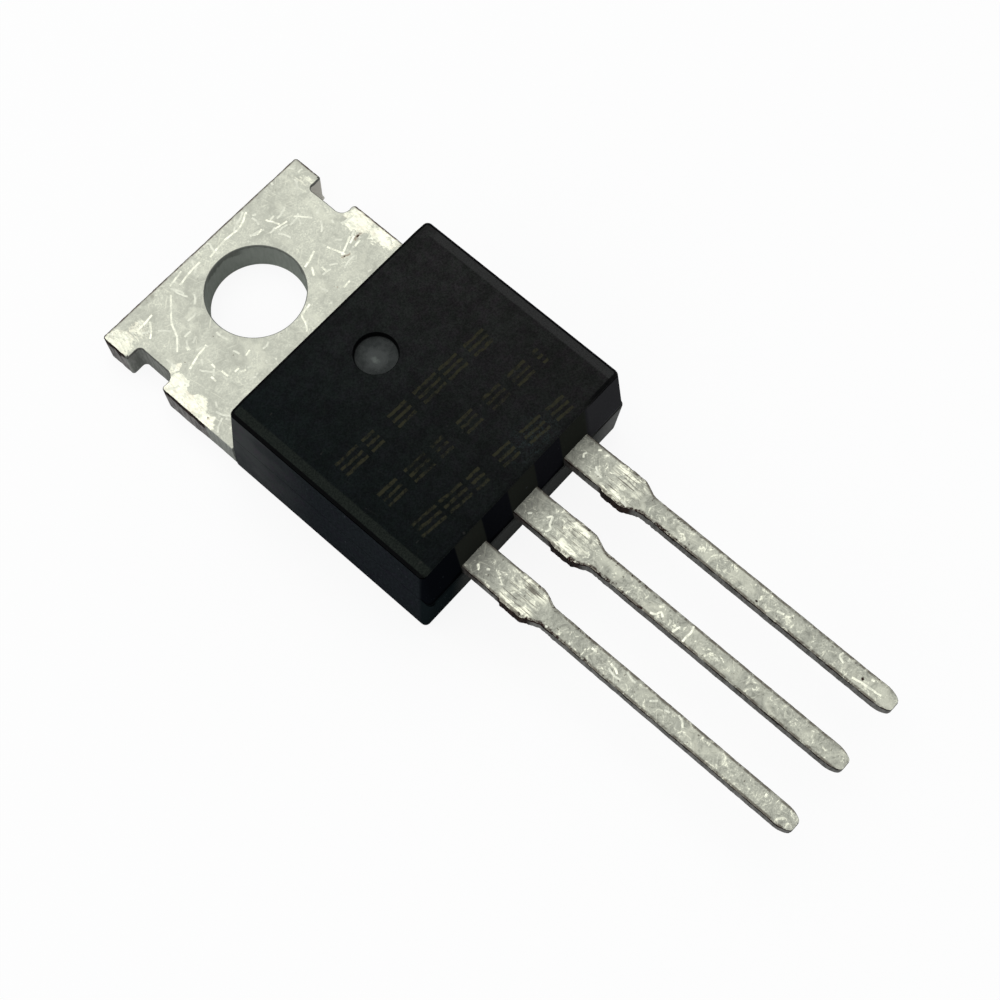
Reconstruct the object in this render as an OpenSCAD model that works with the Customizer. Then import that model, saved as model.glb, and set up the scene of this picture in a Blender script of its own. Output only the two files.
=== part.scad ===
// Three-lead plastic power transistor, lying on its metal back.
// The origin is where the axis of the mounting hole meets the back face. +X runs across the leads,
// +Y points to the free end of the tab and +Z comes out of the front face. Sizes are in millimetres.

/* [Tab] */
// How far the sides of the tab lie inside those of the body
tab_step = 0.08; // [0:0.01:0.2]
// Thickness of the tab and the die pad
tab_t = 1.3; // [1.2:0.05:1.4]
// Diameter of the mounting hole
hole_d = 3.65; // [3.5:0.05:3.9]
// Distance from the hole axis to the free end of the tab
hole_to_end = 2.76; // [2.6:0.02:3]
// Distance from the hole axis to the foot of the body
hole_to_body = 3.55; // [3.2:0.05:4]
// Radius of the corners at the free end of the tab
tab_corner_r = 0.12; // [0.05:0.01:0.4]
// Length of the notch in each side of the tab
notch_len = 1.7; // [1.3:0.1:2.2]
// Depth of the notches
notch_depth = 0.62; // [0.4:0.02:0.8]
// Distance from the hole axis to the middle of the notches, towards the free end
notch_offset = 0.65; // [0.3:0.05:0.9]
// Inner corner radius of the notches on the side of the free end
notch_end_r = 0.16; // [0.05:0.01:0.3]
// Inner corner radius of the notches on the side of the body
notch_body_r = 0.34; // [0.1:0.02:0.4]

/* [Die pad] */
// Width of the moulding on each side of the metal that shows in the back
rail_w = 0.88; // [0.78:0.02:1.2]
// Distance from the end of the die pad to the plane where the leads leave the body
pad_end_gap = 3.38; // [3:0.02:3.6]
// Radius of the corners of the pad
pad_corner_r = 0.3; // [0.1:0.05:0.6]
// Width of the ledge round the pad that locks it in the moulding
lock_w = 0.3; // [0.1:0.05:0.4]
// Thickness of that ledge, measured down from the top of the pad
lock_t = 0.6; // [0.4:0.05:0.8]
// Distance from the foot of the body to the start of the ledge
lock_inset = 0.7; // [0.5:0.05:1]
// Depth of the V groove across the top of the pad
groove_depth = 0.2; // [0.1:0.05:0.25]
// Distance from the foot of the body to the middle of the V groove
groove_inset = 0.4; // [0.3:0.05:0.6]

/* [Leads] */
// Distance between the middles of neighbouring leads
lead_pitch = 2.54; // [2.5:0.01:2.6]
// Thickness of the leads
lead_t = 0.5; // [0.4:0.02:0.6]
// Height of the underside of the leads above the back face
lead_z = 2.36; // [2.2:0.02:2.6]
// Length of the leads outside the body
lead_len = 13.3; // [12:0.1:14.2]
// Width of the wide part next to the body
shank_w = 1.22; // [1.1:0.02:1.4]
// Width of the thin part
pin_w = 0.74; // [0.6:0.02:0.9]
// Distance from the body to what is left of the dam bar
dam_offset = 1.55; // [1.2:0.05:1.8]
// Length of what is left of the dam bar
dam_len = 0.95; // [0.8:0.05:1.4]
// How far the cut dam bar stands proud on the left of each lead
dam_stub = 0.06; // [0.02:0.01:0.12]
// Length over which the wide part narrows to the thin part
neck_len = 0.62; // [0.4:0.02:0.8]
// Radius at both ends of that narrowing
neck_r = 0.3; // [0.1:0.05:0.5]
// Width of the flat at the tip
tip_w = 0.36; // [0.2:0.02:0.5]
// Length of the taper at the tip
tip_len = 0.5; // [0.4:0.02:0.8]
// Radius where the taper starts
tip_r = 0.6; // [0.1:0.1:0.8]
// Radius of the corners of the flat at the tip
tip_corner_r = 0.03; // [0.01:0.01:0.08]

/* [Bond heads] */
// How far the gate lead's head stands out past the outer edge of the lead
gate_head_out = 0.3; // [0.2:0.05:0.6]
// Thickness of the moulding outside the source lead's head
source_head_cover = 0.7; // [0.5:0.05:1.2]
// Length of both heads
head_len = 1.3; // [1.1:0.05:1.5]
// Distance from the end face of the body to the heads
head_inset = 0.85; // [0.8:0.05:1]
// Gap between the heads and the middle lead
head_gap = 0.6; // [0.4:0.05:0.7]
// Radius of the corners of the heads
head_corner_r = 0.15; // [0.05:0.05:0.3]
// Diameter of the hole in each outer lead that the moulding fills
lock_hole_d = 0.5; // [0.4:0.05:0.6]
// Distance from the end face of the body to the middle of those holes
lock_hole_inset = 0.5; // [0.4:0.05:0.6]
// Straight length of the middle lead inside the body
drain_run = 1.2; // [1:0.05:1.4]

/* [Die and wires] */
// Distance from the sides of the pad to the die
die_side_margin = 1.8; // [1.5:0.05:2.2]
// Distance from the V groove and from the end of the pad to the die
die_end_margin = 0.85; // [0.6:0.05:1.1]
// Thickness of the die
die_t = 0.2; // [0.15:0.01:0.3]
// Thickness of the solder under the die
solder_t = 0.08; // [0.05:0.01:0.12]
// How far the solder runs out past the die
solder_run = 0.1; // [0.05:0.01:0.15]
// Diameter of the source wires
source_wire_d = 0.4; // [0.3:0.02:0.44]
// Distance between neighbouring source wires
source_wire_pitch = 0.8; // [0.7:0.02:0.9]
// Distance from the edge of the die to the feet of the source wires
source_foot_inset = 1.2; // [0.8:0.1:1.6]
// Distance from the middle of the die to the foot of the middle source wire
source_foot_shift = 0.6; // [0.4:0.1:1]
// Height of the arch of the source wires
source_arch = 1.35; // [1.2:0.05:1.5]
// Diameter of the gate wire
gate_wire_d = 0.15; // [0.1:0.01:0.2]
// Distance from both edges of the die to the foot of the gate wire
gate_foot_inset = 0.45; // [0.35:0.05:0.7]
// Height of the arch of the gate wire
gate_arch = 1.05; // [0.85:0.05:1.2]

/* [Body] */
// Width of the body at the back face
body_w = 9.96; // [9.7:0.02:10.4]
// Length of the body from its foot to the plane of the leads
body_len = 9.28; // [9:0.05:9.6]
// Height of the body
body_h = 4.5; // [4.4:0.05:4.7]
// Sideways offset of the moulding from the middle lead
body_shift = 0.11; // [-0.15:0.01:0.15]
// Draft angle of the two long sides
side_draft = 2.5; // [1:0.5:4]
// Draft angle of the end face above the tab
tab_end_draft = 6.4; // [3:0.2:8]
// Draft angle of the end face above the leads
upper_draft = 8.3; // [4:0.1:10]
// Draft angle of the end face below the leads
lower_draft = 6.2; // [3:0.2:8]
// How far the lower half stands proud at the parting line
parting_step = 0.05; // [0.02:0.01:0.08]
// Width of the shallow bevel along both long edges of the front face
bevel_w = 0.45; // [0.3:0.05:0.7]
// Drop of that bevel
bevel_drop = 0.08; // [0.04:0.01:0.14]
// Radius of the edges round the front face
edge_r = 0.09; // [0.04:0.01:0.12]
// Radius of the upright corners
corner_r = 0.2; // [0.1:0.02:0.3]
// Diameter of the ejector mark in the front face
front_mark_d = 1.6; // [1.2:0.1:2]
// Depth of the ejector mark in the front face
front_mark_depth = 0.25; // [0.1:0.05:0.3]
// Distance from the edge above the tab to the middle of that mark
front_mark_inset = 2.17; // [1.8:0.05:2.6]
// Diameter of the two ejector marks in the back
back_mark_d = 1.2; // [0.8:0.1:1.6]
// Depth of the two ejector marks in the back
back_mark_depth = 0.08; // [0.05:0.01:0.15]
// Distance from the sides of the body to the middles of those marks
back_mark_inset = 1.25; // [1.1:0.05:2]

/* [Hidden] */

$fn = 64;
// Straight steps in each rounded corner of an outline
arc_steps = 6;
// How far a cut runs on past the surface it opens
past = 1;
// Sides that the outer leads are on
gate = -1;
source = 1;
// Length and thickness of a bond wire's foot, in wire diameters
foot_stretch = 2;
foot_squash = 0.6;

tab_w = body_w - 2 * tab_step;
pad_w = body_w - 2 * rail_w;
foot_y = -hole_to_body;
end_y = foot_y - body_len;
pad_end_y = end_y + pad_end_gap;
tip_y = end_y - lead_len;
dam_y = end_y - dam_offset;
dam_end_y = dam_y - dam_len;
neck_end_y = dam_end_y - neck_len;
head_y = end_y + head_inset;
head_inner_x = shank_w / 2 + head_gap;
gate_head_x = lead_pitch + shank_w / 2 + gate_head_out;
source_head_x = side_x(lead_z) + body_shift - source_head_cover;
lead_top_z = lead_z + lead_t;
groove_y = foot_y - groove_inset;
die_w = pad_w - 2 * die_side_margin;
die_len = groove_y - groove_depth - pad_end_y - 2 * die_end_margin;
die_edge_y = pad_end_y + die_end_margin;
die_y = die_edge_y + die_len / 2;
die_top_z = tab_t + solder_t + die_t;

// Outlines are lists of corners [x, y, radius]. A corner without a radius is sharp.

function unit(v) = v / norm(v);

function direction(angle) = [cos(angle), sin(angle)];

function flat(corner) = [corner.x, corner.y];

// The points that round one corner between its two neighbours
function corner_points(before, corner, after) =
    let (
        u = unit(flat(before) - flat(corner)),
        v = unit(flat(after) - flat(corner)),
        half = acos(u * v) / 2,
        r = corner[2],
        centre = flat(corner) + unit(u + v) * r / sin(half),
        start = flat(corner) + u * r / tan(half) - centre,
        from = atan2(start.y, start.x),
        sweep = sign(cross(v, u)) * (180 - 2 * half)
    )
    [for (k = [0:arc_steps]) centre + r * direction(from + sweep * k / arc_steps)];

function rounded(corners) =
    let (n = len(corners))
    [
        for (i = [0:n - 1])
            each len(corners[i]) == 3
                ? corner_points(corners[(i + n - 1) % n], corners[i], corners[(i + 1) % n])
                : [flat(corners[i])]
    ];

function reversed(list) = [for (i = [len(list) - 1:-1:0]) list[i]];

function mirrored(corners) =
    [for (corner = reversed(corners)) [for (k = [0:len(corner) - 1]) k == 0 ? -corner.x : corner[k]]];

// An outline in plan, raised from height z
module plate(corners, z, t) {
    translate([0, 0, z]) linear_extrude(t) polygon(rounded(corners));
}

// An outline in the Y-Z plane, drawn out to both sides along X
module across(corners, width) {
    translate([-width / 2, 0, 0]) rotate([90, 0, 90]) linear_extrude(width) polygon(rounded(corners));
}

// An outline in the X-Z plane, drawn out along Y
module along(corners, from_y, to_y) {
    translate([0, to_y, 0]) rotate([90, 0, 0]) linear_extrude(to_y - from_y) polygon(rounded(corners));
}

// Right edge of the tab, from its free end to the foot of the body
function tab_edge() =
    let (
        edge = tab_w / 2,
        floor_x = edge - notch_depth,
        notch_start = notch_offset + notch_len / 2,
        notch_end = notch_offset - notch_len / 2
    )
    [
        [edge, hole_to_end, tab_corner_r],
        [edge, notch_start],
        [floor_x, notch_start, notch_end_r],
        [floor_x, notch_end, notch_body_r],
        [edge, notch_end, tab_corner_r],
        [edge, foot_y]
    ];

// Edge of a lead outside the body, from its left shank round the tip to its right shank
function lead_edge(x) =
    let (
        shank = shank_w / 2,
        stub = shank + dam_stub,
        pin = pin_w / 2,
        tip = tip_w / 2,
        taper_y = tip_y + tip_len,
        stub_r = dam_stub / 2
    )
    [
        [x - shank, dam_y, stub_r],
        [x - stub, dam_y - dam_stub, stub_r],
        [x - stub, dam_end_y, neck_r],
        [x - pin, neck_end_y, neck_r],
        [x - pin, taper_y, tip_r],
        [x - tip, tip_y, tip_corner_r],
        [x + tip, tip_y, tip_corner_r],
        [x + pin, taper_y, tip_r],
        [x + pin, neck_end_y, neck_r],
        [x + shank, dam_end_y, neck_r]
    ];

// Half of a bond head, from its far corner to the edge of the lead
function head_edge(outer_x, shank_x) =
    let (r = min(head_corner_r, abs(outer_x - shank_x) / 2))
    [
        [outer_x, head_y + head_len, r],
        [outer_x, head_y, r],
        [shank_x, head_y, r]
    ];

// An outer lead and its head, which reaches from beside the middle lead to head_outer_x
module outer_lead(side, head_outer_x) {
    x = side * lead_pitch;
    head = [side * head_inner_x, side * head_outer_x];
    left = head_edge(min(head), x - shank_w / 2);
    right = head_edge(max(head), x + shank_w / 2);
    difference() {
        plate(concat(left, lead_edge(x), reversed(right)), lead_z, lead_t);
        translate([x, end_y + lock_hole_inset, lead_z - past])
            cylinder(d = lock_hole_d, h = lead_t + 2 * past);
    }
}

module gate_lead() {
    color("gainsboro") outer_lead(gate, gate_head_x);
}

module source_lead() {
    color("gainsboro") outer_lead(source, source_head_x);
}

// Step from the lower to the upper surface of a strip at a bend, so that both legs keep its thickness
function bend_step(before, bend, after, t) =
    let (
        u = unit(bend - before),
        v = unit(after - bend),
        normal = [u.y, -u.x],
        split = unit(normal + [v.y, -v.x])
    )
    split * t / (split * normal);

// The middle lead from the side: out of the pad, up to the plane of the leads and straight out
module drain_strip() {
    under = [
        [pad_end_y + lead_t, tab_t - lead_t],
        [pad_end_y - lead_t / 2, tab_t - lead_t],
        [end_y + drain_run, lead_z],
        [tip_y, lead_z]
    ];
    over = [
        under[0] + [0, lead_t],
        under[1] + bend_step(under[0], under[1], under[2], lead_t),
        under[2] + bend_step(under[1], under[2], under[3], lead_t),
        under[3] + [0, lead_t]
    ];
    across(concat(under, reversed(over)), tab_w);
}

module drain_lead() {
    root_y = pad_end_y + lead_t;
    outline = concat([[-shank_w / 2, root_y]], lead_edge(0), [[shank_w / 2, root_y]]);
    intersection() {
        drain_strip();
        plate(outline, 0, lead_top_z);
    }
}

// Tab and pad in one thickness, with the ledge that holds the pad in the moulding
module tab_and_pad() {
    right = concat(tab_edge(), [[pad_w / 2, foot_y], [pad_w / 2, pad_end_y, pad_corner_r]]);
    lock_x = pad_w / 2 + lock_w;
    lock_right = [
        [lock_x, foot_y - lock_inset, lock_w / 2],
        [lock_x, pad_end_y - lock_w, pad_corner_r]
    ];
    plate(concat(right, mirrored(right)), 0, tab_t);
    plate(concat(lock_right, mirrored(lock_right)), tab_t - lock_t, lock_t);
}

// The groove that stops moisture creeping in along the top of the pad
module pad_groove() {
    across([
        [groove_y - groove_depth, tab_t],
        [groove_y, tab_t - groove_depth],
        [groove_y + groove_depth, tab_t]
    ], tab_w);
}

module tab_and_drain_lead() {
    color("silver") difference() {
        union() {
            tab_and_pad();
            drain_lead();
        }
        translate([0, 0, -past]) cylinder(d = hole_d, h = tab_t + 2 * past);
        pad_groove();
    }
}

module die_block(margin, z, t) {
    size = [die_w + 2 * margin, die_len + 2 * margin, t];
    translate([0, die_y, z + t / 2]) cube(size, center = true);
}

module die_solder() {
    color("slategray") die_block(solder_run, tab_t, solder_t);
}

module silicon_die() {
    color("dimgray") die_block(0, tab_t + solder_t, die_t);
}

// A wire between two surfaces: a squashed foot at each end and one arc over the straight line
module bond_wire(from, to, d, rise) {
    foot_t = foot_squash * d;
    run = norm(flat(to) - flat(from));
    a = [0, from.z + foot_t / 2];
    b = [run, to.z + foot_t / 2];
    half_chord = norm(b - a) / 2;
    radius = (half_chord * half_chord + rise * rise) / (2 * rise);
    up = unit([a.y - b.y, b.x - a.x]);
    centre = (a + b) / 2 - up * (radius - rise);
    start = atan2(b.y - centre.y, b.x - centre.x);
    end = atan2(a.y - centre.y, a.x - centre.x);
    translate([from.x, from.y, 0]) rotate([0, 0, atan2(to.y - from.y, to.x - from.x)]) {
        translate([centre.x, 0, centre.y]) rotate([90, 0, 0]) rotate([0, 0, start])
            rotate_extrude(angle = end - start) translate([radius, 0]) circle(d = d);
        for (foot = [[0, from.z], [run, to.z]])
            translate([foot.x, 0, foot.y + foot_t / 2]) cube([foot_stretch * d, d, foot_t], center = true);
    }
}

module gate_bond_wire() {
    die_foot = [-die_w / 2 + gate_foot_inset, die_edge_y + gate_foot_inset, die_top_z];
    head_foot = [gate * lead_pitch, head_y + head_len / 2, lead_top_z];
    color("whitesmoke") difference() {
        bond_wire(die_foot, head_foot, gate_wire_d, gate_arch);
        silicon_die();
        gate_lead();
    }
}

module source_bond_wire(number) {
    step = (number - 2) * source_wire_pitch;
    head_x = source * (head_inner_x + source_head_x) / 2;
    die_foot = [source_foot_shift + step, die_edge_y + source_foot_inset, die_top_z];
    head_foot = [head_x + step, head_y + head_len / 2, lead_top_z];
    color("whitesmoke") difference() {
        bond_wire(die_foot, head_foot, source_wire_d, source_arch);
        silicon_die();
        source_lead();
    }
}

// Drafted walls of the moulding at height z

function side_x(z) = body_w / 2 - z * tan(side_draft);

function tab_wall_y(z) = foot_y - max(0, z - tab_t) * tan(tab_end_draft);

function upper_wall_y(z) = end_y + (z - lead_z) * tan(upper_draft);

function lower_wall_y(z) = end_y - parting_step + (lead_z - z) * tan(lower_draft);

// Left corners where those walls meet at height z

function tab_corner(z) = [-side_x(z), tab_wall_y(z), z];

function upper_corner(z) = [-side_x(z), upper_wall_y(z), z];

function lower_corner(z) = [-side_x(z), lower_wall_y(z), z];

// The moulding from the side, with its step at the parting line
function body_side() = [
    [foot_y, 0],
    [foot_y, tab_t],
    [tab_wall_y(body_h), body_h, edge_r],
    [upper_wall_y(body_h), body_h, edge_r],
    [upper_wall_y(lead_z), lead_z],
    [lower_wall_y(lead_z), lead_z],
    [lower_wall_y(0), 0, edge_r]
];

// The moulding from the end, with the shallow bevels of its front face
function body_front() =
    let (
        shoulder_z = body_h - bevel_drop,
        right = [
            [side_x(0), 0],
            [side_x(shoulder_z), shoulder_z, edge_r],
            [side_x(shoulder_z) - bevel_w, body_h]
        ]
    )
    concat(right, mirrored(right));

// What rounding takes off one upright corner between two heights. The cut leans with both walls.
// inward is 1 where the body lies on the +Y side of the corner and -1 where it lies on the -Y side.
// The slab keeps the cut between the two heights.
module corner_cut(low, high, inward) {
    lean = high - low;
    waste = concat(
        [[-past, -past], [corner_r, -past]],
        [for (k = [0:arc_steps]) corner_r * ([1, 1] + direction(270 - 90 * k / arc_steps))],
        [[-past, corner_r]]
    );
    intersection() {
        translate(low) rotate([-asin(lean.y / norm(lean)), atan2(lean.x, lean.z), 0])
            translate([0, 0, -past]) linear_extrude(norm(lean) + 2 * past)
                polygon([for (p = waste) [p.x, inward * p.y]]);
        translate([-body_w, 2 * end_y, low.z]) cube([2 * body_w, -2 * end_y, lean.z]);
    }
}

module upright_corners() {
    for (side = [0, 1]) mirror([side, 0, 0]) {
        corner_cut(tab_corner(0), tab_corner(tab_t), -1);
        corner_cut(tab_corner(tab_t), tab_corner(body_h), -1);
        corner_cut(lower_corner(0), lower_corner(lead_z), 1);
        corner_cut(upper_corner(lead_z), upper_corner(body_h), 1);
    }
}

module ejector_marks() {
    translate([0, tab_wall_y(body_h) - front_mark_inset, body_h - front_mark_depth])
        cylinder(d = front_mark_d, h = front_mark_depth + past);
    for (side = [-1, 1])
        translate([side * (body_w / 2 - back_mark_inset), (pad_end_y - lock_w + end_y) / 2, -past])
            cylinder(d = back_mark_d, h = back_mark_depth + past);
}

module body_form() {
    difference() {
        intersection() {
            across(body_side(), 2 * body_w);
            along(body_front(), end_y - past, foot_y + past);
        }
        upright_corners();
        ejector_marks();
    }
}

// Everything that the mould closes round
module inserts() {
    tab_and_drain_lead();
    gate_lead();
    source_lead();
    die_solder();
    silicon_die();
    gate_bond_wire();
    for (number = [1:3]) source_bond_wire(number);
}

module moulded_body() {
    color("#15191a") difference() {
        translate([body_shift, 0, 0]) body_form();
        union() inserts();
    }
}

tab_and_drain_lead();
gate_lead();
source_lead();
silicon_die();
die_solder();
gate_bond_wire();
source_bond_wire(1);  // source_bond_wire_1
source_bond_wire(2);  // source_bond_wire_2
source_bond_wire(3);  // source_bond_wire_3
moulded_body();
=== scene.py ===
"""Looks of a three-lead plastic power transistor: plated tab and leads, black moulding, white stage."""

import math
from types import SimpleNamespace

import bmesh
import bpy
from mathutils import Matrix, Vector, noise


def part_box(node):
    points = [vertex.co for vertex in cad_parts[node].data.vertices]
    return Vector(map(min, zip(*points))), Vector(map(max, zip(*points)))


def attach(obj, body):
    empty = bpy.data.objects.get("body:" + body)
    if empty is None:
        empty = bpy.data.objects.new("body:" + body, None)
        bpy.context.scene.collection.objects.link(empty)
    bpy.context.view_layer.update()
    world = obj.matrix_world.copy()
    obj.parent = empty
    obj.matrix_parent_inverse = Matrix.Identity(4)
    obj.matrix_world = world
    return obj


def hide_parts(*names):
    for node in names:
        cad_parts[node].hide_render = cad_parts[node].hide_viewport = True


bl_info = {
    "name": "Power Transistor",
    "version": (1, 0, 0),
    "blender": (4, 5, 0),
    "location": "View3D > Sidebar > Transistor",
    "description": "Builds the plated frame, the leads and the moulding of a plastic power transistor",
    "category": "Add Mesh",
}

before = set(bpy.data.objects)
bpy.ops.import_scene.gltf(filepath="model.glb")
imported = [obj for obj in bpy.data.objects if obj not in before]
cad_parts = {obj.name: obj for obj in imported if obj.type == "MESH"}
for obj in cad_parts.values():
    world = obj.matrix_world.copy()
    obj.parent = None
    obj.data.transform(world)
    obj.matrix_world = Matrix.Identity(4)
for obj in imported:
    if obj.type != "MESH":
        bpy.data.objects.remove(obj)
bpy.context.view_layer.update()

# The scene is in metres. Shapes are drawn in millimetres and turned into metres once.
MM = 0.001


def node_box(name):
    """Lowest and highest corner of a packed solid, in millimetres."""
    low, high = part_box(name)
    return Vector(low) / MM, Vector(high) / MM


TAB_LOW, TAB_HIGH = node_box("tab_and_drain_lead")
GATE_LOW, GATE_HIGH = node_box("gate_lead")
LEAD_LOW, LEAD_TOP = GATE_LOW.z, GATE_HIGH.z


# User settings


def length(name, text, default):
    """A length, given in millimetres and kept in metres."""
    return bpy.props.FloatProperty(
        name=name, description=text, default=default * MM, subtype="DISTANCE", unit="LENGTH", precision=5
    )


def angle(name, text, default):
    """An angle given in degrees."""
    return bpy.props.FloatProperty(
        name=name, description=text, default=math.radians(default), subtype="ANGLE", unit="ROTATION"
    )


def tint(name, text, default):
    """A linear colour."""
    return bpy.props.FloatVectorProperty(
        name=name, description=text, default=default, size=3, subtype="COLOR", min=0.0, max=1.0
    )


class TransistorTab(bpy.types.PropertyGroup):
    """Sizes of the tab and of the pad under the die"""

    thickness: length("Thickness", "Thickness of the tab", 1.3)
    hole: length("Hole", "Diameter of the mounting hole", 3.65)
    notch_low: length("Notch Start", "Where the notches start, towards the moulding", -0.2)
    notch_high: length("Notch End", "Where the notches end, towards the free end", 1.5)
    notch_depth: length("Notch Depth", "Depth of the two notches", 0.62)
    roll: length("Die Roll", "Rounding that the die leaves along the lower edge", 0.15)
    corner_roll: length("Corner Roll", "Extra rounding of the lower corners", 0.06)
    raggedness: length("Raggedness", "How far the cut edges wander", 0.02)
    pad_width: length("Pad Width", "Width of the metal in the back of the moulding", 8.2)
    pad_end: length("Pad End", "Where the pad ends inside the moulding", -9.45)
    pad_gap: length("Pad Gap", "Fine line between the pad and the moulding", 0.015)


class TransistorLeads(bpy.types.PropertyGroup):
    """Sizes of the three leads"""

    pitch: length("Pitch", "Distance between neighbouring leads", 2.54)
    shank: length("Shank Width", "Width next to the moulding", 1.22)
    pin: length("Pin Width", "Width of the thin part", 0.76)
    tip: length("Tip Width", "Width of the flat end", 0.24)
    tip_length: length("Tip Length", "Length over which the end narrows", 0.58)
    stub: length("Dam Stub", "How far the cut dam bar stands proud", 0.06)
    dam_start: length("Dam Start", "Where the cut dam bar starts", -14.38)
    dam_end: length("Dam End", "Where the cut dam bar ends", -15.3)
    neck: length("Neck", "Length over which the lead narrows", 0.72)
    edge_round: length("Edge Round", "Rounding of the long edges", 0.035)
    raggedness: length("Raggedness", "How far the cut edges wander", 0.035)
    head_inset: length("Head Inset", "Distance from the end wall to the heads", 0.85)


class TransistorBody(bpy.types.PropertyGroup):
    """Sizes of the moulding"""

    width: length("Width", "Width at the back face", 9.99)
    shift: length("Shift", "Sideways offset from the middle lead", 0.095)
    foot: length("Foot", "Where the moulding starts above the tab", -3.55)
    end: length("End", "Where the leads leave the moulding", -12.83)
    height: length("Height", "Height of the moulding", 4.5)
    parting: length("Parting", "Height of the parting line", 2.36)
    step: length("Step", "How far the lower half stands proud", 0.05)
    left_draft: angle("Left Draft", "Draft of the left side wall", 2.9)
    right_draft: angle("Right Draft", "Draft of the right side wall", 1.65)
    foot_draft: angle("Foot Draft", "Draft of the wall above the tab", 6.4)
    upper_draft: angle("Upper Draft", "Draft of the end wall above the leads", 8.3)
    lower_draft: angle("Lower Draft", "Draft of the end wall below the leads", 5.5)
    bevel_width: length("Bevel Width", "Width of the shallow bevels of the front", 0.45)
    bevel_drop: length("Bevel Drop", "Drop of those bevels", 0.08)
    edge: length("Edge Radius", "Radius round the front face", 0.09)
    corner: length("Corner Radius", "Radius of the upright corners", 0.2)
    mark: length("Ejector Mark", "Diameter of the round mark in the front", 1.53)
    mark_depth: length("Mark Depth", "Depth of that mark", 0.25)
    mark_y: length("Mark Place", "Middle of that mark", -6.06)
    back_mark: length("Back Mark", "Diameter of the two marks in the back", 1.2)
    back_depth: length("Back Mark Depth", "Depth of those marks", 0.08)


class TransistorWear(bpy.types.PropertyGroup):
    """Scratches in the plating"""

    width: length("Scratch Width", "Widest part of a scratch", 0.075)
    height: length("Scratch Height", "Height of the ridge that a scratch throws up", 0.012)
    reach: length("Scratch Length", "Longest of the scattered scratches", 0.62)
    density: bpy.props.FloatProperty(
        name="Density",
        description="Scattered scratches on a square millimetre of the tab",
        default=2.0,
        min=0.0,
    )
    lead_density: bpy.props.FloatProperty(
        name="Lead Density",
        description="Scattered scratches on a square millimetre of the leads",
        default=0.7,
        min=0.0,
    )
    seed: bpy.props.IntProperty(name="Seed", description="Changes where the scratches fall", default=4)


class TransistorFinish(bpy.types.PropertyGroup):
    """Colours of the finishes"""

    tin: tint("Tin", "Matte plating", (0.50, 0.51, 0.433))
    tin_bright: tint("Bright Tin", "Burnished plating and scratches", (0.76, 0.765, 0.625))
    tin_dark: tint("Dark Tin", "Cloudy plating", (0.30, 0.305, 0.262))
    cut: tint("Cut Metal", "Sheared side walls", (0.135, 0.130, 0.125))
    torn: tint("Torn Metal", "Brown, torn band of the side walls", (0.026, 0.0155, 0.013))
    epoxy: tint("Epoxy", "Grained front of the moulding", (0.0029, 0.0050, 0.0048))
    # Painted light: the front is drawn in this colour towards the right side.
    epoxy_painted_light: tint("Lit Epoxy", "Grained front towards the right side", (0.0118, 0.0130, 0.0118))
    wall: tint("Epoxy Wall", "Smooth walls of the moulding", (0.0138, 0.0168, 0.0192))
    laser: tint("Laser Mark", "Burnt blocks on the front", (0.0275, 0.0265, 0.0150))


def sizes(group):
    """The settings of a group, with its lengths in millimetres."""
    values = {}
    for name in group.__annotations__:
        value = getattr(group, name)
        if group.bl_rna.properties[name].subtype == "DISTANCE":
            value /= MM
        values[name] = value
    return SimpleNamespace(**values)


def settings(scene):
    """The settings of all groups, with lengths in millimetres, and the finish as look."""
    return SimpleNamespace(
        tab=sizes(scene.transistor_tab),
        leads=sizes(scene.transistor_leads),
        body=sizes(scene.transistor_body),
        wear=sizes(scene.transistor_wear),
        look=scene.transistor_finish,
    )


def wall_reach(body, height, side):
    """How far a side wall stands from the middle of the moulding, right for a positive side."""
    draft = body.right_draft if side > 0 else body.left_draft
    return body.width / 2 - height * math.tan(draft)


def lead_root(spec):
    """Where the bars of the leads start inside the moulding."""
    return spec.body.end + LEAD_INSIDE


# Small sizes, in millimetres

# How far the bars of the leads reach into the moulding
LEAD_INSIDE = 0.53
# How far the tab reaches into the moulding before it narrows to the pad
SHOULDER_INSET = 0.12
PAD_CORNER = 0.3
HEAD_CORNER = 0.15
# Distances of the round marks in the back from the side walls and from the end wall
BACK_MARK_SIDE = 1.25
BACK_MARK_END = 1.54
# Where the sheared side wall of the tab turns smooth, towards the moulding
SMOOTH_WALL = -2.25
# Share of the edge rounding that the punch throws out as a burr round a hole
PUNCH_BURR = -0.25
# Height above the back face from which the scratches are dropped on the metal
RAY_START = 10.0
# Points along the bar of a lead
LEAD_PARTS = 420

# Inputs of the lead tree that come straight from the settings
LEAD_INPUTS = {
    "Shank Width": "shank",
    "Pin Width": "pin",
    "Tip Width": "tip",
    "Tip Length": "tip_length",
    "Stub": "stub",
    "Dam Start": "dam_start",
    "Dam End": "dam_end",
    "Neck": "neck",
    "Edge Round": "edge_round",
    "Raggedness": "raggedness",
}

# Piece, packed solid, side and seed of the outer leads
OUTER_LEADS = (("left_lead", "gate_lead", -1, 5.0), ("right_lead", "source_lead", 1, 9.0))
MIDDLE_SEED = 2.0

# Gloss of the metal, none so that the sheared walls stay dark
METAL_GLOSS = 0.0

# Linear colours of wear, dirt, and painted light and shade on the metal

SMOOTH_CUT_DARK = (0.20, 0.218, 0.196)
SMOOTH_CUT_LIGHT = (0.34, 0.365, 0.325)
# Painted light on the wall of the right notch
NOTCH_PAINTED_LIGHT = (0.60, 0.585, 0.53)
WARM_STAIN = (0.60, 0.545, 0.44)
SMUT = (0.16, 0.145, 0.115)
TAB_FRECKLE = (0.12, 0.10, 0.075)
TAB_PIT_RING = (0.24, 0.18, 0.125)
TAB_PIT_CORE = (0.035, 0.02, 0.013)
LEAD_FRECKLE = (0.07, 0.058, 0.045)
LEAD_PIT = (0.022, 0.013, 0.010)
LEAD_SHADE = (0.05, 0.05, 0.046)
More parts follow.
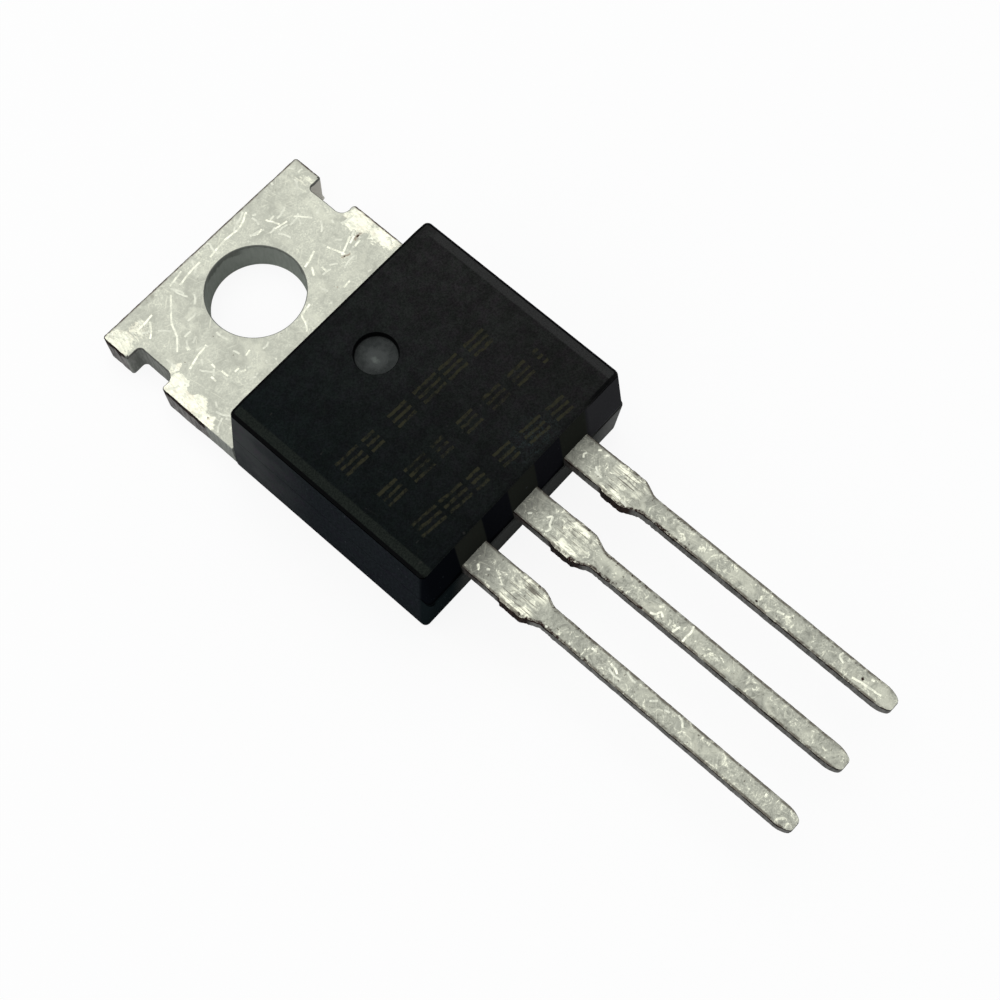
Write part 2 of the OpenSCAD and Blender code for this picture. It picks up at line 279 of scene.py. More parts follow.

# Linear colours of the moulding, among them painted light, shade, shadow and reflections

# Painted light on the shallow bevels of the front
RIGHT_BEVEL_PAINTED_LIGHT = (0.0300, 0.0305, 0.0300)
LEFT_BEVEL_PAINTED_LIGHT = (0.0150, 0.0185, 0.0150)
# Painted dark reflections along the rounded edges of the moulding
FRONT_EDGE_PAINTED_REFLECTION = (0.0007, 0.0008, 0.001)
WALL_EDGE_PAINTED_REFLECTION = (0.0006, 0.0006, 0.0009)
FRONT_SCUFF = (0.024, 0.035, 0.036)
FRONT_LINES = (0.022, 0.024, 0.021)
FRONT_DUST = (0.032, 0.031, 0.028)
WALL_DUST = (0.06, 0.065, 0.075)
# Painted reflection on the walls towards the tab
WALL_PAINTED_REFLECTION = (0.054, 0.058, 0.058)
MARK_FLOOR_DARK = (0.029, 0.0325, 0.0315)
MARK_FLOOR_LIGHT = (0.044, 0.048, 0.0465)
# Painted soft highlight and painted glint on the floor of the round mark
MARK_PAINTED_GLOW = (0.060, 0.065, 0.063)
MARK_GLINT = (0.115, 0.128, 0.118)
# Painted light, shade, shadow and reflections of the end wall above the leads
END_WALL_PAINTED_SHADE = (0.0030, 0.0037, 0.0052)
END_WALL_PAINTED_LIGHT = (0.0092, 0.0095, 0.0118)
PARTING_PAINTED_SHADOW = (0.0010, 0.0010, 0.0014)
END_WALL_RIGHT_PAINTED_LIGHT = (0.0330, 0.0330, 0.0355)
LEAD_PAINTED_REFLECTION = (0.0175, 0.0190, 0.0155)
# Painted light on the end wall below the leads, with painted shade to the left and brighter to the right
LOWER_END_PAINTED_LIGHT = (0.052, 0.054, 0.052)
LOWER_END_LEFT_PAINTED_SHADE = (0.0072, 0.0108, 0.0120)
LOWER_END_RIGHT_PAINTED_LIGHT = (0.155, 0.157, 0.152)

# Rows of plain blocks on the front: where each starts and ends, and its seed

MARK_ROWS = (
    ((-3.7, -8.07), (3.35, -8.36), 3.0),
    ((-3.55, -9.8), (3.75, -10.18), 31.0),
    ((-3.6, -11.3), (3.45, -11.97), 77.0),
)
MARK_HEIGHT = 0.87
MARK_PITCH = 1.18
LINE_PITCH = 0.25

# Burnished patches of the tab, as middle, reach and strength
BURNISHED = (
    ((-4.62, -0.55), (0.72, 0.80), 1.0),
    ((-4.68, -1.45), (0.70, 0.95), 1.0),
    ((-4.75, -2.15), (0.48, 0.55), 0.9),
    ((-4.05, -0.02), (0.34, 0.26), 0.8),
    ((-4.60, 2.25), (0.75, 0.85), 0.70),
    ((-3.90, 1.95), (0.80, 0.75), 0.60),
    ((4.55, -0.80), (0.72, 0.95), 0.92),
    ((4.66, -1.90), (0.62, 1.00), 0.88),
    ((4.40, 1.85), (0.40, 0.75), 0.58),
)

# Dark pits, as middle and radius
TAB_PITS = (((4.04, -1.19), 0.11), ((3.12, -1.40), 0.07), ((2.0, -1.95), 0.03), ((-4.6, -2.2), 0.05))
LEAD_PITS = (((2.55, -24.82), 0.07), ((-0.34, -18.03), 0.08), ((2.32, -20.67), 0.05))

# Scratches that stand out, as points and a width
TAB_SCRATCHES = (
    (((2.06, 2.51), (1.47, 2.24), (0.73, 2.27), (-0.11, 2.18)), 1.1),
    (((2.30, 1.74), (2.52, 1.25)), 1.0),
    (((2.26, 1.24), (2.78, 1.14)), 0.9),
    (((-0.50, 2.31), (-1.02, 2.29), (-1.62, 2.18)), 0.8),
    (((-3.12, 2.07), (-3.55, 2.03), (-3.96, 2.02)), 1.4),
    (((-3.36, 1.93), (-3.60, 1.62), (-3.82, 1.45)), 1.2),
    (((-2.12, 2.14), (-2.62, 1.62), (-2.92, 1.26), (-3.14, 0.80), (-3.55, 0.38)), 0.65),
    (((-2.68, -0.19), (-3.22, -0.28), (-3.71, -0.43)), 1.1),
    (((0.92, -1.80), (0.42, -1.89), (0.28, -2.2), (0.05, -2.48)), 1.5),
    (((2.55, -0.43), (2.2, -0.56), (1.86, -0.64)), 1.2),
    (((2.03, -0.83), (1.82, -1.13)), 1.2),
    (((3.85, -0.98), (3.46, -1.15), (3.10, -1.30)), 1.6),
    (((3.95, -1.09), (3.64, -1.18)), 1.5),
    (((3.97, -1.36), (3.67, -1.39)), 1.7),
    (((2.97, -0.67), (3.10, -1.05), (3.20, -1.35)), 1.0),
    (((2.27, -1.10), (2.24, -1.37)), 1.3),
    (((2.21, -2.23), (2.53, -2.23)), 1.8),
    (((-3.20, 0.28), (-3.23, 0.14)), 1.6),
    (((-3.06, -0.86), (-3.09, -1.06)), 1.5),
    (((-3.02, -1.31), (-3.01, -1.61)), 1.8),
    (((-3.43, -1.19), (-3.43, -1.43)), 1.7),
    (((-2.62, -1.81), (-2.43, -1.91)), 1.4),
    (((-1.79, -1.48), (-2.05, -1.53)), 1.0),
    (((1.65, 1.55), (1.94, 1.59)), 1.0),
    (((-2.74, -1.68), (-2.54, -1.68)), 1.0),
    (((-1.2, 2.55), (-1.9, 2.42)), 0.6),
    (((3.1, 1.1), (3.5, 0.55)), 0.6),
)
LEAD_SCRATCHES = {
    "left": (
        (((-2.72, -13.10), (-2.80, -13.20), (-2.88, -13.24)), 1.8),
        (((-2.66, -13.42), (-2.60, -13.52)), 1.7),
        (((-2.41, -17.72), (-2.40, -17.92)), 1.7),
        (((-2.40, -18.50), (-2.44, -18.72), (-2.52, -18.88)), 1.6),
        (((-2.24, -21.19), (-2.33, -21.39), (-2.48, -21.55)), 0.6),
        (((-2.35, -24.83), (-2.47, -24.84)), 1.2),
    ),
    "middle": (
        (((-0.02, -13.72), (0.12, -13.86), (-0.14, -13.95), (-0.22, -14.08), (-0.42, -14.00)), 0.65),
        (((-0.27, -18.34), (-0.17, -18.52), (-0.01, -18.60), (-0.10, -18.76)), 0.9),
        (((-0.29, -19.29), (0.01, -19.38)), 0.7),
        (((0.32, -19.70), (0.08, -19.76), (-0.32, -19.74)), 0.9),
    ),
    "right": (
        (((2.40, -13.24), (2.50, -13.16), (2.62, -13.20)), 0.6),
        (((2.94, -13.42), (3.00, -13.52)), 1.2),
        (((2.97, -13.75), (3.02, -13.84)), 1.0),
        (((2.20, -19.09), (2.19, -19.34)), 1.2),
        (((2.51, -21.38), (2.57, -21.62)), 1.8),
        (((2.56, -24.05), (2.66, -23.82), (2.84, -23.84)), 0.6),
        (((2.37, -24.53), (2.42, -24.81), (2.46, -25.14), (2.50, -25.59)), 1.0),
        (((2.71, -25.04), (2.74, -25.16)), 2.0),
    ),
}

# Light and camera. Lamps are name, place and size in metres, and power in watts

LAMPS = (
    ("high light", (0.04, 0.09, 0.30), 0.30, 0.56),
    ("side light", (-0.24, -0.02, 0.17), 0.20, 0.14),
)
LAMP_AIM = (0.0, -0.01, 0.0)
SKY_POWER = 0.42
FLOOR_REACH = 600.0
FLOOR_GAP = 0.02
# Share of plain white in the floor as the camera sees it, so that only a faint shadow is left
SHADOW_FADE = 0.9

# Focal length on a frame 36 mm wide, place in millimetres, and the right, up and back directions
CAMERA_LENS = 61.915
CAMERA_PLACE = (-15.554, -25.266, 56.092)
CAMERA_AXES = (
    (0.66453044, -0.74725568, 0.00287218),
    (0.69929679, 0.62322653, 0.35010383),
    (-0.26340709, -0.23064615, 0.93670649),
)


# Node helpers


class Nodes:
    """Adds nodes to a tree and links them."""

    def __init__(self, tree):
        self.tree = tree

    def add(self, kind, inputs=None, **settings):
        node = self.tree.nodes.new(kind)
        for name, value in settings.items():
            setattr(node, name, value)
        for name, value in (inputs or {}).items():
            self.put(node.inputs[name], value)
        return node

    def put(self, socket, value):
        if isinstance(value, bpy.types.Node):
            value = value.outputs[0]
        if isinstance(value, bpy.types.NodeSocket):
            self.tree.links.new(value, socket)
        else:
            socket.default_value = value

    def math(self, operation, *values, clamp=False):
        node = self.add("ShaderNodeMath", operation=operation, use_clamp=clamp)
        for index, value in enumerate(values):
            self.put(node.inputs[index], value)
        return node.outputs[0]

    def sum(self, *values):
        total = values[0]
        for value in values[1:]:
            total = self.math("ADD", total, value)
        return total

    def product(self, *values):
        total = values[0]
        for value in values[1:]:
            total = self.math("MULTIPLY", total, value)
        return total

    def most(self, *values):
        total = values[0]
        for value in values[1:]:
            total = self.math("MAXIMUM", total, value)
        return total

    def rest(self, value):
        """One less the value."""
        return self.math("SUBTRACT", 1.0, value)

    def centred(self, value):
        """A noise moved to swing about zero."""
        return self.math("SUBTRACT", value, 0.5)

    def above(self, value, limit):
        return self.math("GREATER_THAN", value, limit)

    def vector(self, operation, *values):
        node = self.add("ShaderNodeVectorMath", operation=operation)
        for index, value in enumerate(values):
            self.put(node.inputs[index], value)
        return node.outputs[0]

    def dot(self, first, second):
        node = self.add("ShaderNodeVectorMath", {0: first, 1: second}, operation="DOT_PRODUCT")
        return node.outputs["Value"]

    def split(self, vector):
        return self.add("ShaderNodeSeparateXYZ", {0: vector}).outputs

    def join(self, x=0.0, y=0.0, z=0.0):
        return self.add("ShaderNodeCombineXYZ", {0: x, 1: y, 2: z}).outputs[0]

    def ramp(self, value, low, high, start=0.0, end=1.0):
        """Smooth step of a value from low to high."""
        node = self.add("ShaderNodeMapRange", interpolation_type="SMOOTHSTEP")
        for index, item in enumerate((value, low, high, start, end)):
            self.put(node.inputs[index], item)
        return node.outputs[0]

    def mix(self, factor, first, second):
        node = self.add("ShaderNodeMix", data_type="RGBA", clamp_factor=True)
        self.put(node.inputs[0], factor)
        self.put(node.inputs[6], first)
        self.put(node.inputs[7], second)
        return node.outputs[2]

    def noise(self, where, scale, detail=3.0, roughness=0.55, distortion=0.0):
        inputs = {"Vector": where, "Scale": scale, "Detail": detail}
        inputs.update({"Roughness": roughness, "Distortion": distortion})
        return self.add("ShaderNodeTexNoise", inputs).outputs[0]

    def stretched(self, where, scale, *rest):
        """Noise drawn out along an axis by a scale for each axis."""
        return self.noise(self.vector("MULTIPLY", where, scale), 1.0, *rest)

    def warp(self, where, scale, amount):
        """The place moved about by noise, up to an amount."""
        node = self.add("ShaderNodeTexNoise", {"Vector": where, "Scale": scale, "Detail": 3.0})
        drift = self.vector("SUBTRACT", node.outputs["Color"], (0.5, 0.5, 0.5))
        return self.vector("ADD", where, self.vector("MULTIPLY", drift, (amount, amount, amount)))

    def attribute(self, name):
        return self.add("ShaderNodeAttribute", attribute_name=name).outputs["Fac"]

    def stored(self, name, kind="FLOAT"):
        """A named attribute inside a geometry tree."""
        node = self.add("GeometryNodeInputNamedAttribute", {"Name": name}, data_type=kind)
        return node.outputs["Attribute"]

    def spot(self, where, centre, radius, soft=0.5):
        """A soft ellipse round a centre in the XY plane."""
        offset = self.vector("DIVIDE", self.vector("SUBTRACT", where, (*centre, 0.0)), (*radius, 1e6))
        away = self.add("ShaderNodeVectorMath", {0: offset}, operation="LENGTH").outputs["Value"]
        return self.ramp(away, 1.0, 1.0 - soft)


def emptied(block):
    """The node helper of a material or world, with its tree emptied."""
    block.use_nodes = True
    block.node_tree.nodes.clear()
    return Nodes(block.node_tree)


def rgba(colour, gain=1.0):
    """A colour as a socket takes it, brighter by the gain."""
    return (*(channel * gain for channel in colour), 1.0)


def new_material(name):
    """An empty material with its Principled shader and its place in millimetres."""
    material = bpy.data.materials.new(name)
    n = emptied(material)
    shader = n.add("ShaderNodeBsdfPrincipled")
    n.put(n.add("ShaderNodeOutputMaterial").inputs[0], shader)
    place = n.add("ShaderNodeTexCoord").outputs["Object"]
    return material, n, shader, n.vector("MULTIPLY", place, (1 / MM, 1 / MM, 1 / MM))


def bump(n, shader, height, distance, strength):
    """Fine relief, with its distance in millimetres."""
    node = n.add("ShaderNodeBump", {"Height": height, "Distance": distance * MM, "Strength": strength})
    n.put(shader.inputs["Normal"], node)


# Finishes of the metal


def hairlines(n, where):
    """Faint straight lines rubbed into the plating in three directions."""
    lines = []
    for turn, salt in ((0.45, 1.0), (1.35, 5.0), (2.5, 9.0)):
        turned = n.add("ShaderNodeVectorRotate", {"Vector": where, "Angle": turn}, rotation_type="Z_AXIS")
        drawn = n.stretched(n.vector("ADD", turned, (0.0, salt, salt)), (1.0, 15.0, 1.0), 2.0, 0.6, 0.15)
        lines.append(n.ramp(drawn, 0.63, 0.74))
    return n.most(*lines)


def cloudy_tin(n, where, look, gain=1.0):
    """Colour of matte tin with cloudy greys and fine rubbed flecks, and its fine noises."""
    cloud = n.noise(where, 0.55, 5.0, 0.6, 0.6)
    mottle = n.noise(where, 2.4, 5.0, 0.65, 1.0)
    fine = n.noise(where, 14.0, 4.0, 0.75)
    murk = n.ramp(n.sum(mottle, n.product(cloud, 0.9)), 1.10, 0.72, 0.0, 0.55)
    colour = n.mix(murk, rgba(look.tin, gain), rgba(look.tin_dark, gain))
    colour = n.mix(n.ramp(fine, 0.60, 0.34, 0.0, 0.42), colour, rgba(look.tin_dark, gain))
    speckle = n.ramp(n.sum(fine, n.product(mottle, 0.6)), 0.82, 1.02)
    flecks = n.most(
        n.product(n.ramp(cloud, 0.45, 0.62, 0.2, 0.9), speckle),
        n.product(hairlines(n, where), 0.6),
        n.ramp(n.noise(where, 0.9, 4.0, 0.6, 1.0), 0.50, 0.68, 0.0, 0.4),
    )
    return colour, flecks, fine, mottle


def sheared_wall(n, where, look, torn, pale, gain=1.0):
    """Colour of a sheared side wall: streaked grey, brown where it tore, paler where it is smooth."""
    streaks = n.stretched(where, (7.0, 7.0, 1.6), 4.0, 0.65)
    wall = n.mix(n.ramp(streaks, 0.36, 0.62), rgba(look.cut, 0.62 * gain), rgba(look.cut, 1.25 * gain))
    wall = n.mix(pale, wall, n.mix(streaks, rgba(SMOOTH_CUT_DARK), rgba(SMOOTH_CUT_LIGHT)))
    return n.mix(torn, wall, n.mix(n.ramp(streaks, 0.45, 0.6), rgba(look.torn, 0.35), rgba(look.torn)))


def finish_metal(n, shader, colour, sheared, bright, fine):
    """Colours the metal, makes it smoother where it is bright and barely metallic where it is sheared."""
    n.put(shader.inputs["Base Color"], colour)
    n.put(shader.inputs["Metallic"], n.ramp(sheared, 0.0, 1.0, 0.45, 0.08))
    roughness = n.sum(n.ramp(bright, 0.0, 1.0, 0.5, 0.36), n.product(n.centred(fine), 0.16))
    n.put(shader.inputs["Roughness"], roughness)
    shader.inputs["Specular IOR Level"].default_value = METAL_GLOSS


def burnished(n, place, ragged_place):
    """Mask of the plating that was rubbed bright near the edges of the tab."""
    strength = 0.0
    for centre, radius, share in BURNISHED:
        strength = n.most(n.product(n.spot(ragged_place, centre, radius, 0.6), share), strength)
    scuffs = n.stretched(place, (6.5, 3.2, 1.0), 5.0, 0.75, 1.2)
    rubbed = n.ramp(n.sum(strength, n.product(n.centred(scuffs), 1.5)), 0.44, 0.66)
    return n.product(rubbed, n.ramp(strength, 0.3, 0.9, 0.45, 1.0))


def tab_wall(n, place, look, tab):
    """Colour of the side walls of the tab, of its notches and of the hole, with painted light on the wall of
    the right notch.
    """
    x, y, z = n.split(place)
    near_body = n.ramp(y, SMOOTH_WALL, SMOOTH_WALL - 0.25)
    beside_notch = n.product(
        n.ramp(y, tab.notch_low - 0.2, tab.notch_low - 0.02),
        n.ramp(y, tab.notch_high + 0.22, tab.notch_high + 0.05),
    )
    ragged = n.product(n.centred(n.stretched(place, (2.2, 2.2, 1.0), 4.0, 0.6)), 0.9)
    wide = n.ramp(n.sum(z, ragged), tab.thickness - 0.36, tab.thickness - 0.24)
    thin = n.ramp(n.sum(z, n.product(ragged, 0.25)), tab.thickness - 0.13, tab.thickness - 0.07)
    band = n.mix(beside_notch, wide, thin)
    in_notch = n.product(beside_notch, n.ramp(n.math("ABSOLUTE", x), 3.0, 3.5))
    right_notch_painted_light = n.product(in_notch, n.ramp(x, 0.0, 1.0))
    bore = n.attribute("bore")
    spared = n.most(n.product(bore, 0.6), n.product(in_notch, 0.5))
    torn = n.product(n.most(band, thin), n.rest(near_body), n.rest(spared))
    # The wall of the right notch also takes the paler smooth colours, as painted light.
    pale = n.most(n.product(near_body, 0.6), bore, n.product(in_notch, 0.45), n.product(right_notch_painted_light, 0.8))
    wall = sheared_wall(n, place, look, torn, pale, 1.4)
    # Painted light on the wall of the right notch.
    return n.mix(n.product(right_notch_painted_light, n.rest(thin)), wall, rgba(NOTCH_PAINTED_LIGHT))


def tab_material(spec):
    """Matte tin of the tab, burnished along its edges, with pits, and dark sheared walls."""
    material, n, shader, place = new_material("matte tin of the tab")
    look, tab = spec.look, spec.tab
    x, y, z = n.split(place)
    on_top = n.above(z, 0.6)
    colour, flecks, fine, mottle = cloudy_tin(n, place, look)
    ragged_place = n.warp(n.warp(place, 1.6, 0.9), 6.0, 0.30)
    rubbed = burnished(n, place, ragged_place)
    grey = n.ramp(n.stretched(place, (9.0, 3.5, 1.0), 5.0, 0.75, 1.0), 0.38, 0.58, 0.4, 1.0)
    bright = n.most(n.product(flecks, 0.55), n.product(rubbed, grey))
    colour = n.mix(bright, colour, rgba(look.tin_bright))
    stain = n.ramp(n.noise(place, 3.4, 4.0, 0.7, 1.0), 0.50, 0.62, 0.0, 0.45)
    colour = n.mix(n.product(stain, rubbed), colour, rgba(WARM_STAIN))
    for centre, radius in TAB_PITS:
        ring = n.spot(ragged_place, centre, (radius * 1.9, radius * 1.4), 0.8)
        core = n.spot(place, centre, (radius * 0.8, radius * 0.5), 0.6)
        colour = n.mix(n.product(ring, on_top, 0.7), colour, rgba(TAB_PIT_RING))
        colour = n.mix(n.product(core, on_top), colour, rgba(TAB_PIT_CORE))
    rim = n.most(*(n.ramp(way, end - 0.10, end - 0.05) for way, end in ((y, TAB_HIGH.y), (x, TAB_HIGH.x))))
    rim = n.product(rim, n.ramp(mottle, 0.40, 0.54, 0.4, 1.0), on_top, 0.9)
    colour = n.mix(rim, colour, rgba(look.torn, 2.2))
    smut = n.ramp(n.noise(place, 4.5, 5.0, 0.75, 0.8), 0.56, 0.66)
    smut = n.product(smut, n.ramp(y, 1.9, 2.7, 0.0, 0.4), on_top)
    colour = n.mix(smut, colour, rgba(SMUT))
    freckles = n.ramp(n.noise(place, 4.6, 1.0, 0.4), 0.245, 0.20, 0.0, 0.7)
    colour = n.mix(freckles, colour, rgba(TAB_FRECKLE))
    sheared = n.ramp(n.sum(n.attribute("cut"), n.product(n.centred(fine), 0.5)), 0.42, 0.6)
    colour = n.mix(sheared, colour, tab_wall(n, place, look, tab))
    finish_metal(n, shader, colour, sheared, bright, fine)
    relief = n.product(n.noise(place, 40.0, 2.0), 0.35)
    relief = n.sum(relief, fine, n.product(mottle, 1.5), n.product(rubbed, -0.6))
    bump(n, shader, relief, 0.012, 0.5)
    return material


def torn_rim(n, where, across, y, mottle, leads):
    """Masks of the nicks along both rims of a lead and of the dark line that joins them."""
    stop = leads.dam_end
    half = n.ramp(y, stop, stop - leads.neck, leads.shank / 2, leads.pin / 2 - 0.01)
    rim = n.math("SUBTRACT", n.math("ABSOLUTE", across), half)
    left = n.ramp(across, 0.1, -0.1)
    beside_dam = n.product(left, n.ramp(y, stop - 2.3, stop - 1.3), n.ramp(y, stop + 0.3, stop), 0.06)
    teeth = n.sum(n.noise(where, 6.5, 4.0, 0.75), beside_dam)
    nicks = n.product(n.ramp(rim, -0.16, -0.06), n.ramp(teeth, 0.55, 0.60))
    nicks = n.product(nicks, n.ramp(y, stop + 0.7, stop + 0.2, 0.4, 1.0))
    nicks = n.product(nicks, n.ramp(y, stop - 5.2, stop - 2.1, 0.4, 1.0))
    return nicks, n.product(n.ramp(rim, -0.11, -0.055, 0.0, 0.8), n.ramp(mottle, 0.40, 0.52, 0.3, 1.0))


def lead_wall(n, place, where, spec):
    """Colour of the side walls of a lead: torn along the top and at the cut dam bar, and in the same dark
    colours next to the moulding.
    """
    y, z = n.split(place)[1:]
    leads, end = spec.leads, spec.body.end
    ragged = n.product(n.centred(n.noise(where, 2.2, 4.0, 0.6)), 0.45)
    at_top = n.ramp(n.sum(z, ragged), LEAD_TOP - 0.10, LEAD_TOP - 0.03)
    at_dam = n.product(
        n.ramp(y, leads.dam_start + 0.18, leads.dam_start - 0.02),
        n.ramp(y, leads.dam_end - 0.45, leads.dam_end - 0.2),
    )
    near_body = n.ramp(y, end - 1.07, end - 0.37, 0.0, 0.7)
    return sheared_wall(n, place, spec.look, n.most(at_top, at_dam, near_body), 0.15)


def lead_material(spec, name, middle, seed):
    """Matte tin of one lead, with painted highlights and painted shade of a hammered relief, the bright drag
    lines of the dam cutter, torn black edges and painted shade next to the moulding.
    """
    material, n, shader, place = new_material(name)
    look, leads, end = spec.look, spec.leads, spec.body.end
    x, y = n.split(place)[:2]
    across = n.math("SUBTRACT", x, middle)
    where = n.vector("ADD", place, (0.0, 0.0, seed))
    colour, flecks, fine, mottle = cloudy_tin(n, where, look, 0.78)
    along = n.sum(y, n.product(n.centred(mottle), 0.5))
    dam = n.product(
        n.ramp(along, leads.dam_start + 0.28, leads.dam_start - 0.07),
        n.ramp(along, leads.dam_end - 0.45, leads.dam_end - 0.1),
    )
    drag = n.stretched(where, (8.5, 1.5, 1.0), 5.0, 0.7, 0.8)
    patchy = n.ramp(n.noise(where, 2.2, 3.0, 0.6, 0.8), 0.40, 0.58, 0.1, 1.0)
    outward = n.ramp(n.math("ABSOLUTE", across), 0.14, 0.5, 0.5, 1.0)
    dragged = n.product(dam, n.ramp(drag, 0.42, 0.54, 0.2, 1.0), patchy, outward, 1.25)
    # Painted highlights and painted shade of a hammered relief.
    hammered = n.noise(where, 2.9, 5.0, 0.74, 1.2)
    painted_relief_highlight = n.product(n.ramp(hammered, 0.53, 0.65), n.ramp(fine, 0.40, 0.58, 0.3, 1.0), 1.1)
    painted_relief_shade = n.product(n.ramp(hammered, 0.49, 0.36), 0.7)
    colour = n.mix(painted_relief_shade, colour, rgba(look.tin_dark, 0.6))
    bright = n.most(dragged, n.product(flecks, 0.7), painted_relief_highlight)
    colour = n.mix(bright, colour, rgba(look.tin_bright))
    lines = n.product(dam, n.ramp(n.stretched(where, (17.0, 0.9, 1.0), 3.0, 0.6), 0.46, 0.36))
    freckles = n.ramp(n.noise(where, 7.0, 2.0, 0.5), 0.32, 0.26, 0.0, 0.75)
    nicks, rim_line = torn_rim(n, where, across, y, mottle, leads)
    dark = n.most(n.product(lines, 0.75), freckles, nicks, rim_line)
    colour = n.mix(dark, colour, n.mix(nicks, rgba(LEAD_FRECKLE), rgba(look.torn, 0.9)))
    for centre, radius in LEAD_PITS:
        if abs(centre[0] - middle) < leads.pitch / 2:
            pit = n.spot(n.warp(place, 9.0, 0.06), centre, (radius, radius), 0.5)
            colour = n.mix(pit, colour, rgba(LEAD_PIT))
    # Painted shade next to the moulding.
    colour = n.mix(n.ramp(y, end - 0.12, end - 1.07, 0.4, 0.0), colour, rgba(LEAD_SHADE))
    chips = n.product(n.centred(n.noise(where, 9.0, 3.0, 0.7)), 0.9)
    sheared = n.ramp(n.sum(n.attribute("cut"), chips), 0.42, 0.58)
    colour = n.mix(sheared, colour, lead_wall(n, place, where, spec))
    finish_metal(n, shader, colour, sheared, bright, fine)
    relief = n.sum(fine, n.product(mottle, 1.4), n.product(dam, n.centred(drag), 2.4))
    bump(n, shader, relief, 0.013, 0.55)
    return material


def scratch_material(look):
    """Bare bright metal along a scratch, worn away in places."""
    material, n, shader, place = new_material("bright scratch")
    wear = n.noise(place, 5.0, 4.0, 0.65)
    bare = n.product(n.ramp(wear, 0.38, 0.54, 0.35, 1.0), n.ramp(n.attribute("width"), 0.1, 1.1, 0.2, 1.0))
    n.put(shader.inputs["Base Color"], n.mix(bare, rgba(look.tin), rgba(look.tin_bright, 1.03)))
    shader.inputs["Metallic"].default_value = 0.35
    n.put(shader.inputs["Roughness"], n.ramp(wear, 0.4, 0.6, 0.5, 0.34))
    bump(n, shader, n.noise(place, 30.0, 2.0), 0.006, 0.5)
    return material


def plain_metal(name, dark, light, scale, metallic, roughness):
    """A mottled metal for the parts inside the moulding."""
    material, n, shader, place = new_material(name)
    mottle = n.noise(place, scale, 4.0, 0.6)
    n.put(shader.inputs["Base Color"], n.mix(n.ramp(mottle, 0.35, 0.65), rgba(dark), rgba(light)))
    shader.inputs["Metallic"].default_value = metallic
    n.put(shader.inputs["Roughness"], n.ramp(mottle, 0.3, 0.7, roughness, roughness + 0.15))
    bump(n, shader, mottle, 0.004, 0.4)
    return material


# Finishes of the moulding


def block_row(n, place, start, end, seed):
    """Mask of a row of plain lined blocks of uneven width between two points of the front."""
    run = Vector(end) - Vector(start)
    ahead = run.normalized()
    offset = n.vector("SUBTRACT", place, (*start, 0.0))
    along = n.dot(offset, (ahead.x, ahead.y, 0.0))
    across = n.dot(offset, (-ahead.y, ahead.x, 0.0))
    cell = n.math("DIVIDE", along, MARK_PITCH)
    number = n.sum(n.math("FLOOR", cell), seed)
    pick = n.add("ShaderNodeTexWhiteNoise", {"W": number}, noise_dimensions="1D").outputs["Value"]
    inside = n.product(
        n.math("LESS_THAN", n.math("FRACT", cell), n.ramp(pick, 0.0, 1.0, 0.45, 0.88)),
        n.above(along, 0.0),
        n.math("LESS_THAN", along, run.length),
        n.math("LESS_THAN", n.math("ABSOLUTE", across), MARK_HEIGHT / 2),
    )
    lined = n.math("COSINE", n.product(across, 2 * math.pi / LINE_PITCH))
    return n.product(inside, n.ramp(lined, -0.1, 0.5))


def painted_edge_reflection(n, x, y):
    """Mask of the painted dark reflection along the rounded edges of the moulding, the parting step and the
    wall of the round mark, faint along the middle of the end wall.
    """
    at_corner = n.most(n.ramp(x, 2.9, 4.0), n.ramp(x, -4.45, -4.62))
    fade = n.most(n.ramp(y, -12.38, -12.2), n.ramp(at_corner, 0.0, 1.0, 0.12, 0.9))
    return n.product(n.ramp(n.attribute("edge"), 0.2, 0.6), fade)


def round_mark_floor(n, place, body):
    """Colour of the smooth floor of the round mark: speckled, with a painted soft highlight and one painted
    dull glint.
    """
    x, y = body.shift, body.mark_y
    speckle = n.noise(place, 5.0, 4.0, 0.7)
    floor = n.mix(n.ramp(speckle, 0.35, 0.65), rgba(MARK_FLOOR_DARK), rgba(MARK_FLOOR_LIGHT))
    # Painted soft highlight over the middle of the floor.
    painted_light_noise = n.sum(n.spot(place, (x - 0.05, y - 0.05), (0.62, 0.62), 0.95), n.product(speckle, 0.5))
    floor = n.mix(n.ramp(painted_light_noise, 0.35, 0.95), floor, rgba(MARK_PAINTED_GLOW))
    # Painted dull glint.
    glint = n.spot(n.warp(place, 5.0, 0.25), (x - 0.12, y - 0.06), (0.15, 0.24), 0.8)
    return n.mix(n.product(glint, 0.8), floor, rgba(MARK_GLINT))


